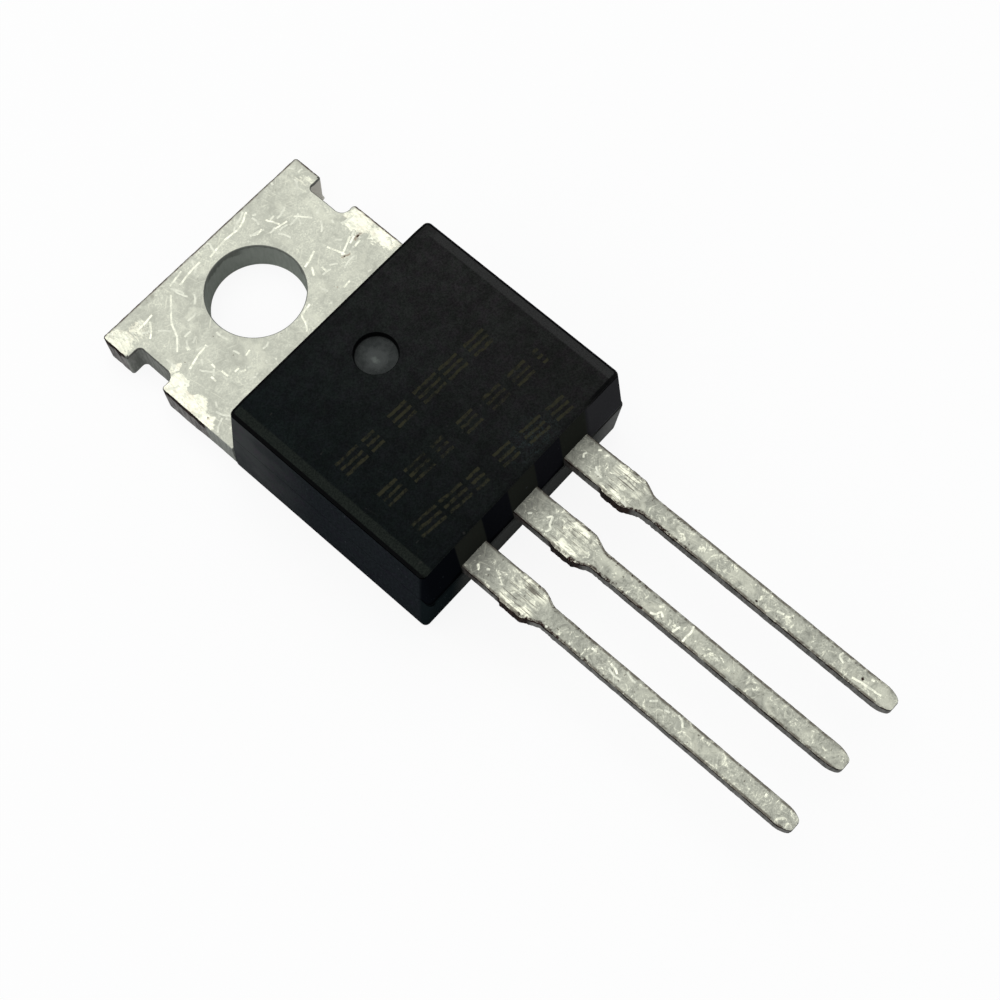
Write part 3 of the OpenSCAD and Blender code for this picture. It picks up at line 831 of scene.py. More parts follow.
def front_material(spec):
    """Grained epoxy of the front: speckled, painted lighter to the right and towards the tab, with painted
    light on the bevels, a painted dark reflection along the edges, faint lined blocks and the bare round mark
    with its painted highlight.
    """
    material, n, shader, place = new_material("grained epoxy of the front")
    look, body = spec.look, spec.body
    x, y, z = n.split(place)
    on_front = n.above(z, body.height / 2)
    grain = n.noise(place, 17.0, 3.0, 0.7)
    warm = n.noise(n.vector("ADD", place, (7.0, 3.0, 1.0)), 3.2, 4.0, 0.7)
    # Painted light: lighter towards the right side.
    tone = n.mix(n.ramp(x, -5.5, 5.5), rgba(look.epoxy), rgba(look.epoxy_painted_light))
    tone = n.mix(n.ramp(warm, 0.40, 0.64, 0.0, 0.45), tone, n.vector("MULTIPLY", tone, (1.25, 0.82, 1.2)))
    # Grain and slow mottle, with painted shade: darker towards the lead end.
    shade = n.product(n.ramp(grain, 0.30, 0.70, 0.62, 1.38), n.ramp(y, -12.5, -4.0, 0.85, 1.15))
    shade = n.product(shade, n.ramp(n.noise(place, 1.7, 5.0, 0.75), 0.36, 0.64, 0.78, 1.25))
    colour = n.vector("MULTIPLY", tone, shade)

    rough = n.warp(place, 3.5, 0.11)
    marks = n.product(n.most(*(block_row(n, rough, *row) for row in MARK_ROWS)), on_front)
    patchy = n.sum(n.noise(place, 6.0, 4.0, 0.75), n.product(n.noise(place, 0.8), 0.5))
    colour = n.mix(n.product(marks, n.ramp(patchy, 0.62, 0.84, 0.08, 0.95)), colour, rgba(look.laser))
    scuff = n.ramp(n.noise(place, 8.0, 4.0, 0.7, 2.0), 0.52, 0.62)
    scuff = n.product(n.spot(place, (1.3, -11.9), (1.7, 1.0), 0.9), scuff, on_front, 0.7)
    colour = n.mix(scuff, colour, rgba(FRONT_SCUFF))
    lines = n.product(hairlines(n, n.vector("ADD", place, (4.0, 9.0, 0.0))), 0.15)
    colour = n.mix(lines, colour, rgba(FRONT_LINES))

    side = n.math("SUBTRACT", x, body.shift)
    right, left = (wall_reach(body, body.height, way) - body.bevel_width for way in (1, -1))
    right = n.product(n.ramp(side, right - 0.02, right + 0.05), n.ramp(y, -4.1, -4.7), on_front)
    left = n.product(n.ramp(n.product(side, -1.0), left - 0.02, left + 0.05), on_front)
    # Painted light on the shallow bevels.
    colour = n.mix(n.product(right, n.ramp(grain, 0.3, 0.6, 0.5, 0.95)), colour, rgba(RIGHT_BEVEL_PAINTED_LIGHT))
    colour = n.mix(n.product(left, n.ramp(grain, 0.35, 0.65, 0.35, 0.9)), colour, rgba(LEFT_BEVEL_PAINTED_LIGHT))
    # Painted dark reflection along the rounded edges.
    colour = n.mix(painted_edge_reflection(n, x, y), colour, rgba(FRONT_EDGE_PAINTED_REFLECTION))
    dust = n.ramp(n.noise(place, 5.5, 0.0, 0.0), 0.84, 0.88, 0.0, 0.4)
    colour = n.mix(dust, colour, rgba(FRONT_DUST))

    reach = body.mark / 2 - 0.01
    below = n.ramp(z, body.height - 0.17, body.height - 0.2)
    well = n.product(n.spot(place, (body.shift, body.mark_y), (reach, reach), 0.06), below)
    # The floor of the round mark, with its painted soft highlight and painted glint.
    colour = n.mix(well, colour, round_mark_floor(n, place, body))
    n.put(shader.inputs["Base Color"], colour)
    n.put(shader.inputs["Roughness"], n.ramp(grain, 0.3, 0.7, 0.75, 0.6))
    shader.inputs["Specular IOR Level"].default_value = 0.03
    relief = n.sum(grain, n.product(n.noise(place, 40.0, 2.0), 0.5), n.product(marks, -0.5))
    bump(n, shader, relief, 0.02, 0.5)
    return material


def upper_end_wall(n, x, z, painted_light_noise, spec):
    """Colour of the end wall above the leads: near black, painted darker to the left and lighter to the
    right, with a painted shadow above the parting step and a painted olive reflection of each lead.
    """
    body, pitch = spec.body, spec.leads.pitch
    # Painted reflection of each lead in the glossy end wall.
    lead_reflections = []
    for lead in (-1, 0, 1):
        away = n.math("ABSOLUTE", n.math("SUBTRACT", x, lead * pitch))
        lead_reflections.append(n.ramp(away, 0.68, 0.6))
    # Painted shade to the left and painted light to the right.
    between = n.mix(n.ramp(x, -3.6, 1.6), rgba(END_WALL_PAINTED_SHADE), rgba(END_WALL_PAINTED_LIGHT))
    # Painted shadow above the parting step.
    parting_shadow = n.sum(z, n.product(n.centred(painted_light_noise), 0.5))
    parting_shadow = n.ramp(parting_shadow, body.parting + 0.30, body.parting + 0.14)
    between = n.mix(n.product(parting_shadow, 0.8), between, rgba(PARTING_PAINTED_SHADOW))
    colour = n.mix(n.most(*lead_reflections), between, rgba(LEAD_PAINTED_REFLECTION))
    # Painted light at the right end.
    return n.mix(n.ramp(x, 3.05, 3.35), colour, rgba(END_WALL_RIGHT_PAINTED_LIGHT))


def wall_material(spec):
    """Smooth epoxy of the side walls: near black, with a painted blue-grey reflection towards the tab, and
    painted light, shade, shadow and reflections on the end walls.
    """
    material, n, shader, place = new_material("smooth epoxy of the walls")
    look, body = spec.look, spec.body
    x, y, z = n.split(place)
    grain = n.noise(place, 11.0, 4.0, 0.7)
    painted_light_noise = n.noise(place, 0.9, 3.0, 0.6)
    colour = n.mix(n.ramp(grain, 0.35, 0.65), rgba(look.wall, 0.7), rgba(look.wall, 1.25))
    # Painted reflection: the walls turn blue-grey towards the tab.
    painted_tab_reflection = n.product(n.ramp(y, -8.0, -3.6), n.ramp(painted_light_noise, 0.3, 0.6, 0.6, 1.0))
    colour = n.mix(painted_tab_reflection, colour, rgba(WALL_PAINTED_REFLECTION))
    bloom = n.ramp(n.noise(place, 2.6, 4.0, 0.7), 0.50, 0.64, 0.0, 0.5)
    colour = n.mix(bloom, colour, n.vector("MULTIPLY", colour, (1.10, 0.80, 1.05)))

    at_end = n.ramp(y, -12.3, -12.5)
    upper = n.ramp(z, body.parting + 0.02, body.parting + 0.06)
    # The end wall above the leads, with its painted light, shade, shadow and reflections.
    colour = n.mix(n.product(at_end, upper), colour, upper_end_wall(n, x, z, painted_light_noise, spec))
    # Painted light on the end wall below the leads: painted shade to the left, brighter to the right.
    lower = n.mix(n.ramp(x, 3.0, 4.9), rgba(LOWER_END_PAINTED_LIGHT), rgba(LOWER_END_RIGHT_PAINTED_LIGHT))
    lower = n.mix(n.ramp(x, -2.6, -3.8), lower, rgba(LOWER_END_LEFT_PAINTED_SHADE))
    colour = n.mix(n.product(at_end, n.rest(upper)), colour, lower)
    # Painted dark reflection along the rounded edges.
    colour = n.mix(painted_edge_reflection(n, x, y), colour, rgba(WALL_EDGE_PAINTED_REFLECTION))
    dust = n.ramp(n.noise(place, 6.5, 0.0, 0.0), 0.83, 0.87, 0.0, 0.5)
    colour = n.mix(dust, colour, rgba(WALL_DUST))
    n.put(shader.inputs["Base Color"], colour)
    shader.inputs["Roughness"].default_value = 0.5
    shader.inputs["Specular IOR Level"].default_value = 0.0
    bump(n, shader, grain, 0.010, 0.3)
    return material


# Mesh helpers


def corner_arc(here, before, after, radius, steps=8):
    """Points that round a corner, or the corner itself."""
    if radius <= 0:
        return [here]
    back, ahead = (before - here).normalized(), (after - here).normalized()
    half = math.acos(max(-1.0, min(1.0, back.dot(ahead)))) / 2
    centre = here + (back + ahead).normalized() * radius / math.sin(half)
    start = here + back * radius / math.tan(half) - centre
    sweep = math.copysign(math.pi - 2 * half, back.x * ahead.y - back.y * ahead.x) * -1
    return [centre + Matrix.Rotation(sweep * k / steps, 2) @ start for k in range(steps + 1)]


def outline_points(corners, step, extra=0.0):
    """Even points round an outline of (x, y, radius), whose outer corners the extra rounds more."""
    arcs = []
    for index, (x, y, radius) in enumerate(corners):
        here = Vector((x, y))
        before = Vector(corners[index - 1][:2])
        after = Vector(corners[(index + 1) % len(corners)][:2])
        outer = (here - before).cross(after - here) > 0
        grown = radius + (extra if outer and radius > 0 else 0.0)
        arcs.append((corner_arc(here, before, after, radius), corner_arc(here, before, after, grown)))
    points = []
    for (plain, grown), (next_plain, next_grown) in zip(arcs, arcs[1:] + arcs[:1]):
        parts = max(1, math.ceil((next_plain[0] - plain[-1]).length / step))
        points += grown[:-1]
        points += [grown[-1].lerp(next_grown[0], k / parts) for k in range(parts)]
    return points


def outline_normals(points):
    """Outward normals of an outline that keeps the metal on its left."""
    normals = []
    for index in range(len(points)):
        run = points[(index + 1) % len(points)] - points[index - 1]
        normals.append(Vector((run.y, -run.x)).normalized())
    return normals


def wander(point, amount, seed):
    """How far a cut edge moves in at a point."""
    where = Vector((point.x * 3.0, point.y * 3.0, seed * 7.3))
    return amount * max(0.0, noise.noise(where) * 0.7 + noise.noise(where * 3.7) * 0.45 + 0.15)


def circle(centre, radius, count, turn=1):
    """Points of a circle."""
    steps = [turn * 2 * math.pi * k / count for k in range(count)]
    return [Vector((centre[0] + radius * math.cos(a), centre[1] + radius * math.sin(a))) for a in steps]


def mirrored(corners):
    """The corners of the left side, in the order that follows those of the right."""
    return [(-x, y, radius) for x, y, radius in reversed(corners)]


def ring_points(corners, arc=6, side=22):
    """A fixed count of points round four rounded corners, evenly along the sides."""
    arcs = []
    for index, (x, y, radius) in enumerate(corners):
        here, before = Vector((x, y)), Vector(corners[index - 1][:2])
        arcs.append(corner_arc(here, before, Vector(corners[(index + 1) % 4][:2]), radius, arc))
    points = []
    for index in range(4):
        start, stop = arcs[index][-1], arcs[(index + 1) % 4][0]
        points += arcs[index]
        points += [start.lerp(stop, k / side) for k in range(1, side)]
    return points


def full_roll(point, normal):
    """Gives every point the whole inset."""
    return 1.0


def plate(bm, loops, levels, roll=full_roll):
    """A stamped plate. A loop gives its points for a level, and a level is (height, inset, extra, cut).

    The roll gives the share of the inset of the lower levels that a point of the first loop takes.
    Later loops are holes, where the punch leaves a small burr instead.
    """
    cut, bore = (bm.verts.layers.float[name] for name in ("cut", "bore"))
    middle = (levels[0][0] + levels[-1][0]) / 2
    rims = ([], [])
    for number, loop in enumerate(loops):
        normals = outline_normals(loop(0.0))
        rings = []
        for height, inset, extra, value in levels:
            ring = []
            for point, normal in zip(loop(extra), normals):
                share = 1.0
                if height < middle:
                    share = PUNCH_BURR if number else roll(point, normal)
                place = point - normal * inset * share
                vert = bm.verts.new((place.x, place.y, height))
                vert[cut], vert[bore] = value, float(number > 0)
                ring.append(vert)
            rings.append(ring)
        bridge(bm, rings)
        rims[0].append(rings[0])
        rims[1].append(rings[-1])
    for group, up in zip(rims, (-1.0, 1.0)):
        edges = [bm.edges.get((ring[k - 1], ring[k])) for ring in group for k in range(len(ring))]
        filled = bmesh.ops.triangle_fill(bm, edges=edges, use_beauty=True, normal=(0, 0, up))
        for face in filled["geom"]:
            if isinstance(face, bmesh.types.BMFace):
                face.normal_update()
                if face.normal.z * up < 0:
                    face.normal_flip()


def bridge(bm, rings):
    """Faces between rings of equal count that run counter-clockwise and rise."""
    for lower, upper in zip(rings, rings[1:]):
        for k in range(len(lower)):
            bm.faces.new((lower[k - 1], lower[k], upper[k], upper[k - 1]))


def metal_bmesh():
    """An empty mesh whose points can say that they lie on a sheared wall or in a hole."""
    bm = bmesh.new()
    for name in ("cut", "bore"):
        bm.verts.layers.float.new(name)
    return bm


def new_piece(name, bm):
    """An object of a mesh in millimetres."""
    mesh = bpy.data.meshes.new(name)
    bm.to_mesh(mesh)
    bm.free()
    piece = bpy.data.objects.new(name, mesh)
    bpy.context.scene.collection.objects.link(piece)
    return piece


def settle(piece):
    """Turns the modifiers of a piece into a plain mesh."""
    graph = bpy.context.evaluated_depsgraph_get()
    made = piece.evaluated_get(graph)
    mesh = bpy.data.meshes.new_from_object(made, preserve_all_data_layers=True, depsgraph=graph)
    piece.modifiers.clear()
    piece.data = mesh
    mesh.name = piece.name


def run_tree(piece, tree, values):
    """Runs a node tree on a piece, with values for its named inputs, and leaves a plain mesh."""
    modifier = piece.modifiers.new(tree.name, "NODES")
    modifier.node_group = tree
    for item in tree.interface.items_tree:
        if item.in_out == "INPUT" and item.name in values:
            modifier[item.identifier] = values[item.name]
    settle(piece)


def deliver(piece, nodes=(), smooth=40):
    """Softens the shading of a finished piece, brings it to metres and hands it to the frame."""
    piece.data.shade_smooth()
    piece.data.set_sharp_from_angle(angle=math.radians(smooth))
    weighted = piece.modifiers.new("even shading", "WEIGHTED_NORMAL")
    weighted.keep_sharp = True
    settle(piece)
    piece.data.transform(Matrix.Scale(MM, 4))
    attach(piece, "root")
    if nodes:
        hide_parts(*nodes)


# Node trees


def new_tree(name, inputs):
    """A geometry tree with named inputs, its node helper and its first and last nodes."""
    tree = bpy.data.node_groups.new(name, "GeometryNodeTree")
    tree.interface.new_socket("Geometry", in_out="INPUT", socket_type="NodeSocketGeometry")
    tree.interface.new_socket("Geometry", in_out="OUTPUT", socket_type="NodeSocketGeometry")
    for label, kind in inputs.items():
        tree.interface.new_socket(label, in_out="INPUT", socket_type="NodeSocket" + kind)
    n = Nodes(tree)
    return tree, n, n.add("NodeGroupInput").outputs, n.add("NodeGroupOutput").inputs


def end_tree(n, end, geometry, material, selection=True):
    """Realizes the result and gives the selected faces their material."""
    solid = n.add("GeometryNodeRealizeInstances", {"Geometry": geometry})
    inputs = {"Geometry": solid, "Selection": selection, "Material": material}
    n.put(end[0], n.add("GeometryNodeSetMaterial", inputs))


def rounded_bar(n, size):
    """A straight bar along Y with rounded long edges, in many short lengths."""
    ends = {"Start": n.join(0.0, size["Root"], 0.0), "End": n.join(0.0, size["Tip"], 0.0)}
    spine = n.add("GeometryNodeCurvePrimitiveLine", ends)
    spine = n.add("GeometryNodeResampleCurve", {"Curve": spine, "Count": LEAD_PARTS}, mode="COUNT")
    spine = n.add("GeometryNodeSetCurveNormal", {"Curve": spine}, mode="Z_UP")
    section = {"Width": size["Shank Width"], "Height": size["Thickness"]}
    section = n.add("GeometryNodeCurvePrimitiveQuadrilateral", section)
    section = {"Curve": section, "Count": 3, "Radius": size["Edge Round"]}
    section = n.add("GeometryNodeFilletCurve", section, mode="POLY")
    return n.add("GeometryNodeCurveToMesh", {"Curve": spine, "Profile Curve": section, "Fill Caps": True})


def half_width(n, size, y, z, side):
    """Half the width of a lead along its length: shank, dam bar, neck, pin and tip, with ragged sides."""
    root, start, stop = size["Root"], size["Dam Start"], size["Dam End"]
    shank, pin = n.product(size["Shank Width"], 0.5), n.product(size["Pin Width"], 0.5)
    half = n.ramp(y, stop, n.math("SUBTRACT", stop, size["Neck"]), shank, pin)
    left = n.ramp(side, 0.5, -0.5)
    in_dam = n.product(n.ramp(y, start, n.sum(start, -0.09)), n.ramp(y, n.sum(stop, -0.16), stop))
    half = n.sum(half, n.product(in_dam, size["Stub"], n.ramp(left, 0.0, 1.0, 0.25, 1.0)))
    into_tip = n.math("SUBTRACT", size["Tip Length"], n.math("SUBTRACT", y, size["Tip"]))
    into_tip = n.math("DIVIDE", into_tip, size["Tip Length"], clamp=True)
    nose = n.rest(n.math("SQRT", n.rest(n.math("POWER", into_tip, 1.75))))
    narrow = n.product(nose, n.math("SUBTRACT", pin, n.product(size["Tip Width"], 0.5)))
    half = n.math("SUBTRACT", half, narrow)
    where = n.join(n.sum(n.product(side, 9.0), size["Seed"]), n.product(y, 2.6), n.product(z, 1.2))
    waves = n.centred(n.noise(where, 0.55, 2.0, 0.5))
    teeth = n.centred(n.noise(where, 2.6, 4.0, 0.7))
    burr = n.product(
        n.ramp(y, n.sum(start, 0.08), n.sum(start, -0.12)),
        n.ramp(y, n.sum(stop, -2.1), n.sum(stop, -0.9)),
        n.ramp(left, 0.0, 1.0, 0.4, 1.0),
    )
    rough = n.sum(n.product(waves, 0.8), n.product(teeth, n.ramp(burr, 0.0, 1.0, 0.7, 3.2)))
    outside = n.ramp(y, n.sum(root, -0.6), n.sum(root, -1.0))
    return n.sum(half, n.product(rough, size["Raggedness"], outside))


def lead_tree():
    """A flat lead: a rounded bar along Y that is drawn in and out to its width."""
    inputs = dict.fromkeys(("Middle", "Root", "Tip", "Underside", "Thickness", "Seed", *LEAD_INPUTS), "Float")
    inputs["Metal"] = "Material"
    tree, n, size, end = new_tree("flat lead", inputs)
    bar = rounded_bar(n, size)
    x, y, z = n.split(n.add("GeometryNodeInputPosition"))
    side = n.math("SIGN", x)
    shank = n.product(size["Shank Width"], 0.5)
    outer = n.math("DIVIDE", n.math("ABSOLUTE", x), shank)
    moved = n.join(
        n.sum(size["Middle"], n.product(side, outer, half_width(n, size, y, z, side))),
        y,
        n.sum(z, size["Underside"], n.product(size["Thickness"], 0.5)),
    )
    radius = n.math("DIVIDE", size["Edge Round"], shank)
    cut = n.ramp(outer, n.rest(n.product(radius, 0.95)), n.rest(n.product(radius, 0.3)))
    cut = n.most(cut, n.math("LESS_THAN", y, n.sum(size["Tip"], 0.003)))
    marked = {"Geometry": bar, "Name": "cut", "Value": cut}
    bar = n.add("GeometryNodeStoreNamedAttribute", marked, data_type="FLOAT")
    bar = n.add("GeometryNodeSetPosition", {"Geometry": bar, "Position": moved})
    drawn = {"Geometry": bar, "Name": "drawn", "Value": True}
    bar = n.add("GeometryNodeStoreNamedAttribute", drawn, data_type="BOOLEAN", domain="FACE")
    both = n.add("GeometryNodeJoinGeometry")
    n.put(both.inputs[0], bar)
    n.put(both.inputs[0], size["Geometry"])
    end_tree(n, end, both, size["Metal"], n.stored("drawn", "BOOLEAN"))
    return tree


def scattered_strokes(n, size, surface, x, y):
    """Short bent strokes scattered over the top of a surface, as curves."""

    def chance(low, high, salt):
        node = n.add("FunctionNodeRandomValue", {2: low, 3: high}, data_type="FLOAT")
        n.put(node.inputs["Seed"], n.sum(size["Seed"], salt))
        return node.outputs[1]

    upward = n.above(n.split(n.add("GeometryNodeInputNormal"))[2], 0.99)
    root = size["Root"]
    density = n.ramp(y, n.sum(root, 0.3), n.sum(root, 0.2), size["Density"], size["Lead Density"])
    scatter = {"Mesh": surface, "Selection": upward, "Density": density, "Seed": size["Seed"]}
    points = n.add("GeometryNodeDistributePointsOnFaces", scatter, distribute_method="RANDOM")
    points = n.add("GeometryNodeSetPosition", {"Geometry": points, "Position": n.join(x, y, 0.0)})
    bend = {"Start": (-0.5, 0.0, 0.0), "Middle": (0.0, 0.16, 0.0), "End": (0.5, 0.0, 0.0), "Resolution": 8}
    stroke = n.add("GeometryNodeCurveQuadraticBezier", bend)
    grown = n.product(size["Reach"], n.math("POWER", chance(0.25, 1.0, 11), 1.6))
    flip = n.math("SIGN", chance(-1.0, 1.0, 12))
    placed = {
        "Points": points,
        "Instance": stroke,
        "Rotation": n.join(0.0, 0.0, chance(0.0, 2 * math.pi, 13)),
        "Scale": n.join(grown, n.product(grown, flip), 1.0),
    }
    strokes = n.add("GeometryNodeInstanceOnPoints", placed)
    width = n.product(n.math("POWER", chance(0.45, 1.0, 14), 3.0), 0.38)
    strokes = {"Geometry": strokes, "Name": "width", "Value": width}
    strokes = n.add("GeometryNodeStoreNamedAttribute", strokes, data_type="FLOAT", domain="INSTANCE")
    return n.add("GeometryNodeRealizeInstances", {"Geometry": strokes})


def scratch_tree():
    """Thin raised slivers along given lines and along scattered strokes, laid on top of a surface."""
    inputs = dict.fromkeys(("Root", "Density", "Lead Density", "Reach", "Width", "Height"), "Float")
    inputs.update({"Surface": "Object", "Seed": "Int", "Metal": "Material"})
    tree, n, size, end = new_tree("scratches", inputs)
    surface = n.add("GeometryNodeObjectInfo", {"Object": size["Surface"]}).outputs["Geometry"]
    surface = n.add("GeometryNodeTransform", {"Geometry": surface, "Scale": (1 / MM, 1 / MM, 1 / MM)})
    x, y, z = n.split(n.add("GeometryNodeInputPosition"))
    curves = n.add("GeometryNodeJoinGeometry")
    n.put(curves.inputs[0], scattered_strokes(n, size, surface, x, y))
    n.put(curves.inputs[0], n.add("GeometryNodeMeshToCurve", {"Mesh": size["Geometry"]}))
    curves = n.add("GeometryNodeCurveSplineType", {"Curve": curves}, spline_type="CATMULL_ROM")
    curves = n.add("GeometryNodeResampleCurve", {"Curve": curves, "Length": 0.035}, mode="LENGTH")
    sway, drift = (n.product(n.centred(n.noise(n.join(x, y, salt), 5.0, 3.0)), 0.06) for salt in (3.0, 17.0))
    curves = n.add("GeometryNodeSetPosition", {"Geometry": curves, "Offset": n.join(sway, drift, 0.0)})

    factor = n.add("GeometryNodeSplineParameter").outputs["Factor"]
    taper = n.math("ABSOLUTE", n.math("SUBTRACT", n.product(factor, 2.0), 1.0))
    taper = n.rest(n.math("POWER", taper, 1.5))
    uneven = n.ramp(n.noise(n.join(x, y, 29.0), 9.0, 3.0), 0.36, 0.64, 0.1, 1.35)
    thickness = n.sum(n.product(taper, uneven, n.stored("width")), 0.03)
    curves = n.add("GeometryNodeSetCurveRadius", {"Curve": curves, "Radius": thickness})
    curves = n.add("GeometryNodeSetCurveNormal", {"Curve": curves}, mode="Z_UP")
    half_height = n.product(size["Height"], 0.5)
    kite = {"Width": size["Width"], "Bottom Height": half_height, "Top Height": half_height}
    sliver = n.add("GeometryNodeCurvePrimitiveQuadrilateral", kite, mode="KITE")
    sweep = {"Curve": curves, "Profile Curve": sliver, "Fill Caps": True}
    slivers = n.add("GeometryNodeCurveToMesh", sweep)

    down = {"Source Position": n.join(x, y, RAY_START), "Ray Direction": (0.0, 0.0, -1.0)}
    down.update({"Target Geometry": surface, "Ray Length": 2 * RAY_START})
    ray = n.add("GeometryNodeRaycast", down).outputs
    level = n.above(n.split(ray["Hit Normal"])[2], 0.97)
    lies = {"Geometry": slivers, "Name": "lies", "Value": n.product(ray["Is Hit"], level)}
    slivers = n.add("GeometryNodeStoreNamedAttribute", lies, data_type="FLOAT")
    laid = n.join(x, y, n.sum(z, n.split(ray["Hit Position"])[2]))
    slivers = n.add("GeometryNodeSetPosition", {"Geometry": slivers, "Position": laid})
    island = n.add("GeometryNodeInputMeshIsland").outputs["Island Index"]
    over = n.add("GeometryNodeAccumulateField", {"Value": n.rest(n.stored("lies")), "Group ID": island})
    loose = {"Geometry": slivers, "Selection": n.above(over.outputs["Total"], 0.5)}
    end_tree(n, end, n.add("GeometryNodeDeleteGeometry", loose, domain="POINT"), size["Metal"])
    return tree


def lead_values(spec, middle, tip, seed):
    """Values for the inputs of the lead tree."""
    values = {label: getattr(spec.leads, name) for label, name in LEAD_INPUTS.items()}
    values.update({"Middle": middle, "Root": lead_root(spec), "Tip": tip, "Seed": seed})
    values.update({"Underside": LEAD_LOW, "Thickness": LEAD_TOP - LEAD_LOW})
    return values


# Operators


class TRANSISTOR_OT_frame(bpy.types.Operator):
    """Builds the tab, the pad under the die and the middle lead, which are stamped in one piece"""

    bl_idname = "transistor.frame"
    bl_label = "Tab and Middle Lead"

    def execute(self, context):
        spec = settings(context.scene)
        bm = metal_bmesh()
        self.add_tab(bm, spec.tab, spec.body.foot - SHOULDER_INSET)
        self.add_strap(bm, spec.tab, spec.leads, lead_root(spec) - 0.05)
        piece = new_piece("tab_and_middle_lead", bm)
        piece.data.materials.append(tab_material(spec))
        values = lead_values(spec, 0.0, TAB_LOW.y, MIDDLE_SEED)
        values["Metal"] = lead_material(spec, "matte tin of the middle lead", 0.0, MIDDLE_SEED)
        run_tree(piece, lead_tree(), values)
        deliver(piece, nodes=["tab_and_drain_lead"])
        return {"FINISHED"}

    def add_tab(self, bm, tab, shoulder):
        """The tab and the pad as one stamped plate with ragged edges and the round hole."""
        side, pad = TAB_HIGH.x, tab.pad_width / 2
        floor = side - tab.notch_depth
        right = [
            (side, shoulder, 0.0),
            (side, tab.notch_low, 0.13),
            (floor, tab.notch_low, 0.34),
            (floor, tab.notch_high, 0.16),
            (side, tab.notch_high, 0.04),
            (side, TAB_HIGH.y, 0.13),
        ]
        pad_right = [(pad, tab.pad_end, PAD_CORNER), (pad, shoulder, 0.0)]
        corners = right + mirrored(right) + mirrored(pad_right) + pad_right

        def edge(extra):
            points = outline_points(corners, 0.1, extra)
            normals = outline_normals(outline_points(corners, 0.1))
            return [p - m * wander(p, tab.raggedness, 1.0) for p, m in zip(points, normals)]

        def hole(extra):
            return circle((0, 0), tab.hole / 2, 96, -1)

        def roll(point, normal):
            """Share of the die roll: most next to the moulding, and a burr on the wall of the right prong."""
            if point.x > floor - 0.1 and abs(point.y - tab.notch_high) < 0.1:
                return -0.8 * max(0.0, -normal.y) ** 4
            return 0.85 * max(0.0, min(1.0, (-1.7 - point.y) / 1.1))

        plate(bm, (edge, hole), self.tab_levels(tab), roll)

    def tab_levels(self, tab):
        """Levels of the side wall: the rounded lower edge, the upright part and the soft upper edge."""
        levels = []
        for step in range(6):
            turn = math.radians(90 * step / 5)
            height = tab.roll * 1.7 * (1 - math.cos(turn))
            extra = tab.corner_roll * max(0.0, 1 - height / tab.thickness) ** 2
            levels.append((height, tab.roll * (1 - math.sin(turn)), extra, 0.85 if step else 0.3))
        for part in (0.35, 0.55, 0.75, 0.9):
            levels.append((tab.thickness * part, 0.0, tab.corner_roll * (1 - part) ** 2, 1.0))
        levels.append((tab.thickness - 0.03, 0.0, 0.0, 1.0))
        levels.append((tab.thickness, 0.03, 0.0, 0.55))
        levels.append((tab.thickness, 0.08, 0.0, 0.0))
        return levels

    def add_strap(self, bm, tab, leads, stop):
        """The strap inside the moulding that climbs from the pad to the middle lead."""
        half, thick = leads.shank / 2, LEAD_TOP - LEAD_LOW
        start = tab.thickness - thick
        rings = []
        for y, z in (
            (tab.pad_end + 0.3, start),
            (tab.pad_end - 0.1, start),
            (tab.pad_end - 1.2, LEAD_LOW),
            (stop, LEAD_LOW),
        ):
            upper, lower = (y + 0.2, z + thick), (y, z)
            places = ((-half, *upper), (half, *upper), (half, *lower), (-half, *lower))
            rings.append([bm.verts.new(place) for place in places])
        bridge(bm, rings)
        bm.faces.new(rings[0][::-1])
        bm.faces.new(rings[-1])


class TRANSISTOR_OT_leads(bpy.types.Operator):
    """Builds the two outer leads with the heads that carry the bond wires"""

    bl_idname = "transistor.leads"
    bl_label = "Outer Leads"

    def execute(self, context):
        spec = settings(context.scene)
        tree = lead_tree()
        for name, node, side, seed in OUTER_LEADS:
            middle = side * spec.leads.pitch
            low, high = node_box(node)
            bm = metal_bmesh()
            self.add_head(bm, spec, middle, low, high)
            piece = new_piece(name, bm)
            values = lead_values(spec, middle, low.y, seed)
            finish = "matte tin of the " + name.replace("_", " ")
            values["Metal"] = lead_material(spec, finish, middle, seed)
            run_tree(piece, tree, values)
            deliver(piece, nodes=[node])
        return {"FINISHED"}

    def add_head(self, bm, spec, middle, low, high):
        """The wide head inside the moulding and the short neck that joins it to the bar of the lead."""
        base = spec.body.end + spec.leads.head_inset
        stop, half, soft = lead_root(spec) - 0.1, spec.leads.shank / 2, 0.03
        corners = [
            (high.x, base, HEAD_CORNER),
            (high.x, high.y, HEAD_CORNER),
            (low.x, high.y, HEAD_CORNER),
            (low.x, base, HEAD_CORNER),
            (middle - half, base, 0.0),
            (middle - half, stop, 0.0),
            (middle + half, stop, 0.0),
            (middle + half, base, 0.0),
        ]
        levels = [
            (LEAD_LOW, soft, 0.0, 0.5),
            (LEAD_LOW + soft, 0.0, 0.0, 1.0),
            (LEAD_TOP - soft, 0.0, 0.0, 1.0),
            (LEAD_TOP, soft, 0.0, 0.3),
        ]
        plate(bm, (lambda extra: outline_points(corners, 0.25),), levels)


